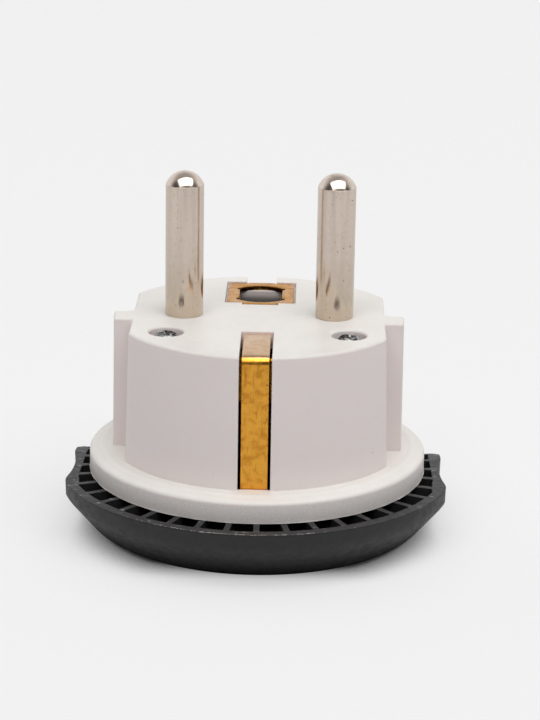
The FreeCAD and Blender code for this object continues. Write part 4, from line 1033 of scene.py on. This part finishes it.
class PLUGADAPTER_OT_pins(bpy.types.Operator):
    """Turn the two plug pins"""

    bl_idname = "plug_adapter.pins"
    bl_label = "Plug pins"

    def execute(self, context):
        sizes = context.scene.plug_adapter_pins
        nickel = nickel_plating(shade_of(context, "nickel"))
        for name in ("left_pin", "right_pin"):
            low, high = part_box(name)
            centre = (low + high) / 2
            mesh = turned(name + "_turned", pin_profile(sizes, low.z, high.z), centre,
                          sides=128)
            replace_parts(show(name + "_turned", mesh, nickel), name)
        return {"FINISHED"}


class PLUGADAPTER_OT_screws(bpy.types.Operator):
    """Turn the two housing screws and drive the cross into their heads"""

    bl_idname = "plug_adapter.screws"
    bl_label = "Housing screws"

    def execute(self, context):
        sizes = context.scene.plug_adapter_screws
        steel = screw_steel(shade_of(context, "steel"))
        top = FACE - sizes.head_sink
        for name, turn in CROSS_TURNS.items():
            low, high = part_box(name)
            centre = (low + high) / 2
            centre.z = 0.0
            shank = turned(name, screw_profile(sizes, low.z, top), centre, sides=64)
            mesh = combined(name, shank, cross_recess(sizes, centre, top, turn), "DIFFERENCE")
            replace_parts(show(name + "_driven", mesh, steel), name)
        return {"FINISHED"}


class PLUGADAPTER_OT_straps(bpy.types.Operator):
    """Fold the front earth strap, and stamp and fold the rear one"""

    bl_idname = "plug_adapter.straps"
    bl_label = "Earth straps"

    def execute(self, context):
        sizes = context.scene.plug_adapter_straps
        shade = shade_of(context, "brass")
        self.fold_front(sizes, rolled_brass(shade))
        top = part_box("rear_earth_strap")[1].z
        self.stamp_rear(sizes, brown_cuts_and_shade_hole(rolled_brass(shade), sizes.hole_place,
                                          sizes.hole_radius, top))
        return {"FINISHED"}

    def fold_front(self, sizes, brass):
        """The front strap: one strip over the plug face, bowed inside as a contact."""
        low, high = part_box("front_earth_strap")
        strip = pressed("front_strap", [front_strap_outline(sizes, low, high)],
                        sizes.leg_width, sizes.sheared_edge, *FROM_THE_SIDE)
        spot = Vector((0.0, high.y - sizes.thickness / 2, sizes.rivet_level))
        mesh = drill("front_strap", strip, spot, sizes.rivet_hole, 2 * sizes.thickness)
        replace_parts(show("front_strap_folded", mesh, brass), "front_earth_strap")

    def stamp_rear(self, sizes, brass):
        """The rear strap: pierced plate, tongue, leg and two spring leaves in one pressing."""
        low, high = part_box("rear_earth_strap")
        thickness, edge = sizes.thickness, sizes.sheared_edge
        plate = pressed("plate", plate_outlines(sizes, high), thickness, edge,
                        (1, 0, 0), (0, 1, 0), (0, 0, high.z - thickness / 2))
        parts = [pressed("leg", [rear_leg_outline(sizes, low, high)], sizes.leg_width, edge,
                         *FROM_THE_SIDE),
                 pressed("tongue", [tongue_outline(sizes, low, high)], sizes.tongue_width, edge,
                         *FROM_THE_SIDE)]
        for sign in (1, -1):
            parts.append(pressed("leaf", [leaf_outline(sizes, high.z, sign)], sizes.leaf_length,
                                 edge, (1, 0, 0), (0, 0, 1), (0, sizes.hole_place, 0)))
        whole = combined("rear_strap", plate, parts, "UNION")
        spot = Vector((0.0, low.y + thickness / 2, sizes.rivet_level))
        mesh = drill("rear_strap", whole, spot, sizes.rivet_hole, 2 * thickness)
        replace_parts(show("rear_strap_pressed", mesh, brass), "rear_earth_strap")


class PLUGADAPTER_OT_inner_metal(bpy.types.Operator):
    """Finish the springs, the earth bridge and its rivets"""

    bl_idname = "plug_adapter.inner_metal"
    bl_label = "Inner metal"

    def execute(self, context):
        paint(INNER_METAL, rolled_brass(shade_of(context, "brass")))
        return {"FINISHED"}


def outward(turn, rise):
    """The direction from the part at a turn to the right of its front, and a height angle."""
    return Vector((math.sin(turn) * math.cos(rise), -math.cos(turn) * math.cos(rise),
                   math.sin(rise)))


class PLUGADAPTER_OT_stage(bpy.types.Operator):
    """Lay the floor, set the light and place the camera"""

    bl_idname = "plug_adapter.stage"
    bl_label = "Stage"

    def execute(self, context):
        settings = context.scene.plug_adapter_stage
        shade = shade_of(context, "floor")
        self.lay_floor(settings, shade)
        self.light_room(context.scene, shade, settings.room)
        self.hang_softbox(settings)
        self.place_camera(context.scene, settings)
        context.scene.view_settings.view_transform = "Standard"
        return {"FINISHED"}

    def lay_floor(self, settings, shade):
        """A wide round floor just under the part."""
        build = bmesh.new()
        bmesh.ops.create_circle(build, cap_ends=True, segments=96, radius=settings.floor_radius)
        mesh = bpy.data.meshes.new("floor")
        build.to_mesh(mesh)
        build.free()
        mesh.materials.append(pale_floor(shade, settings.shadow_lift))
        floor = put("floor", mesh)
        floor.location.z = -0.01 * MM

    def light_room(self, scene, shade, level):
        """A room that is pale behind the part, and dark beside and behind the camera."""
        world = bpy.data.worlds.new("room")
        scene.world = world
        world.use_nodes = True
        tree = world.node_tree
        tree.nodes.clear()
        way = split(tree, node(tree, "ShaderNodeTexCoord").outputs["Generated"])
        low = spread(tree, way["Z"], 0.95, 0.4)
        sky = blend(tree, low, [0.45 * level] * 3, [level] * 3)
        room = blend(tree, spread(tree, way["Y"], -0.3, 0.35), [0.1 * level] * 3, sky)
        direct = node(tree, "ShaderNodeLightPath").outputs["Is Camera Ray"]
        seen = blend(tree, direct, room, shade)
        light = node(tree, "ShaderNodeBackground", {"Color": seen, "Strength": 1.0})
        node(tree, "ShaderNodeOutputWorld", {"Surface": light.outputs["Background"]})

    def hang_softbox(self, settings):
        """The wide lamp overhead, that faces the part."""
        data = bpy.data.lights.new("softbox", "AREA")
        data.shape = "RECTANGLE"
        data.size, data.size_y = settings.lamp_width, settings.lamp_length
        data.energy = settings.lamp_power
        lamp = put("softbox", data)
        way = outward(settings.lamp_turn, settings.lamp_height)
        lamp.location = way * settings.lamp_distance
        lamp.rotation_mode = "QUATERNION"
        lamp.rotation_quaternion = way.to_track_quat("Z", "Y")

    def place_camera(self, scene, settings):
        """The camera of the picture: it aims at a point, with a small turn of its own."""
        turn = settings.azimuth
        back = outward(turn, settings.elevation)
        right = Vector((math.cos(turn), math.sin(turn), 0.0))
        right.rotate(Matrix.Rotation(settings.roll, 3, back))
        data = bpy.data.cameras.new("camera")
        data.lens = settings.lens
        data.sensor_width = 36.0
        data.clip_start, data.clip_end = 0.01, 50.0
        camera = put("camera", data)
        held = Matrix((right, back.cross(right), back)).transposed().to_4x4()
        aim = Vector(settings.aim)
        camera.matrix_world = Matrix.Translation(aim + back * settings.distance) @ held
        scene.camera = camera


GROUPS = {
    "plug_adapter_pins": PlugAdapterPinSizes,
    "plug_adapter_screws": PlugAdapterScrewSizes,
    "plug_adapter_straps": PlugAdapterStrapSizes,
    "plug_adapter_cover": PlugAdapterCoverSizes,
    "plug_adapter_moulding": PlugAdapterMouldingSizes,
    "plug_adapter_finishes": PlugAdapterFinishes,
    "plug_adapter_stage": PlugAdapterStage,
}
OPERATORS = (PLUGADAPTER_OT_stage, PLUGADAPTER_OT_housing, PLUGADAPTER_OT_cover,
             PLUGADAPTER_OT_pins, PLUGADAPTER_OT_screws, PLUGADAPTER_OT_straps,
             PLUGADAPTER_OT_inner_metal)


class PLUGADAPTER_PT_panel(bpy.types.Panel):
    """Pieces and finishes of the plug adapter"""

    bl_label = "Plug Adapter"
    bl_space_type = "VIEW_3D"
    bl_region_type = "UI"
    bl_category = "Plug Adapter"

    def draw(self, context):
        column = self.layout.column()
        for operator in OPERATORS:
            column.operator(operator.bl_idname)
        for name in GROUPS:
            group = getattr(context.scene, name)
            box = self.layout.box()
            for prop in group.bl_rna.properties:
                if prop.identifier not in ("rna_type", "name"):
                    box.prop(group, prop.identifier)


CLASSES = (*GROUPS.values(), *OPERATORS, PLUGADAPTER_PT_panel)


def register():
    for cls in CLASSES:
        bpy.utils.register_class(cls)
    for name, group in GROUPS.items():
        setattr(bpy.types.Scene, name, bpy.props.PointerProperty(type=group))


def unregister():
    for name in GROUPS:
        delattr(bpy.types.Scene, name)
    for cls in reversed(CLASSES):
        bpy.utils.unregister_class(cls)


def main():
    """Register the classes and make every piece in order."""
    register()
    for operator in OPERATORS:
        group, name = operator.bl_idname.split(".")
        getattr(getattr(bpy.ops, group), name)()


if __name__ == "__main__":
    main()
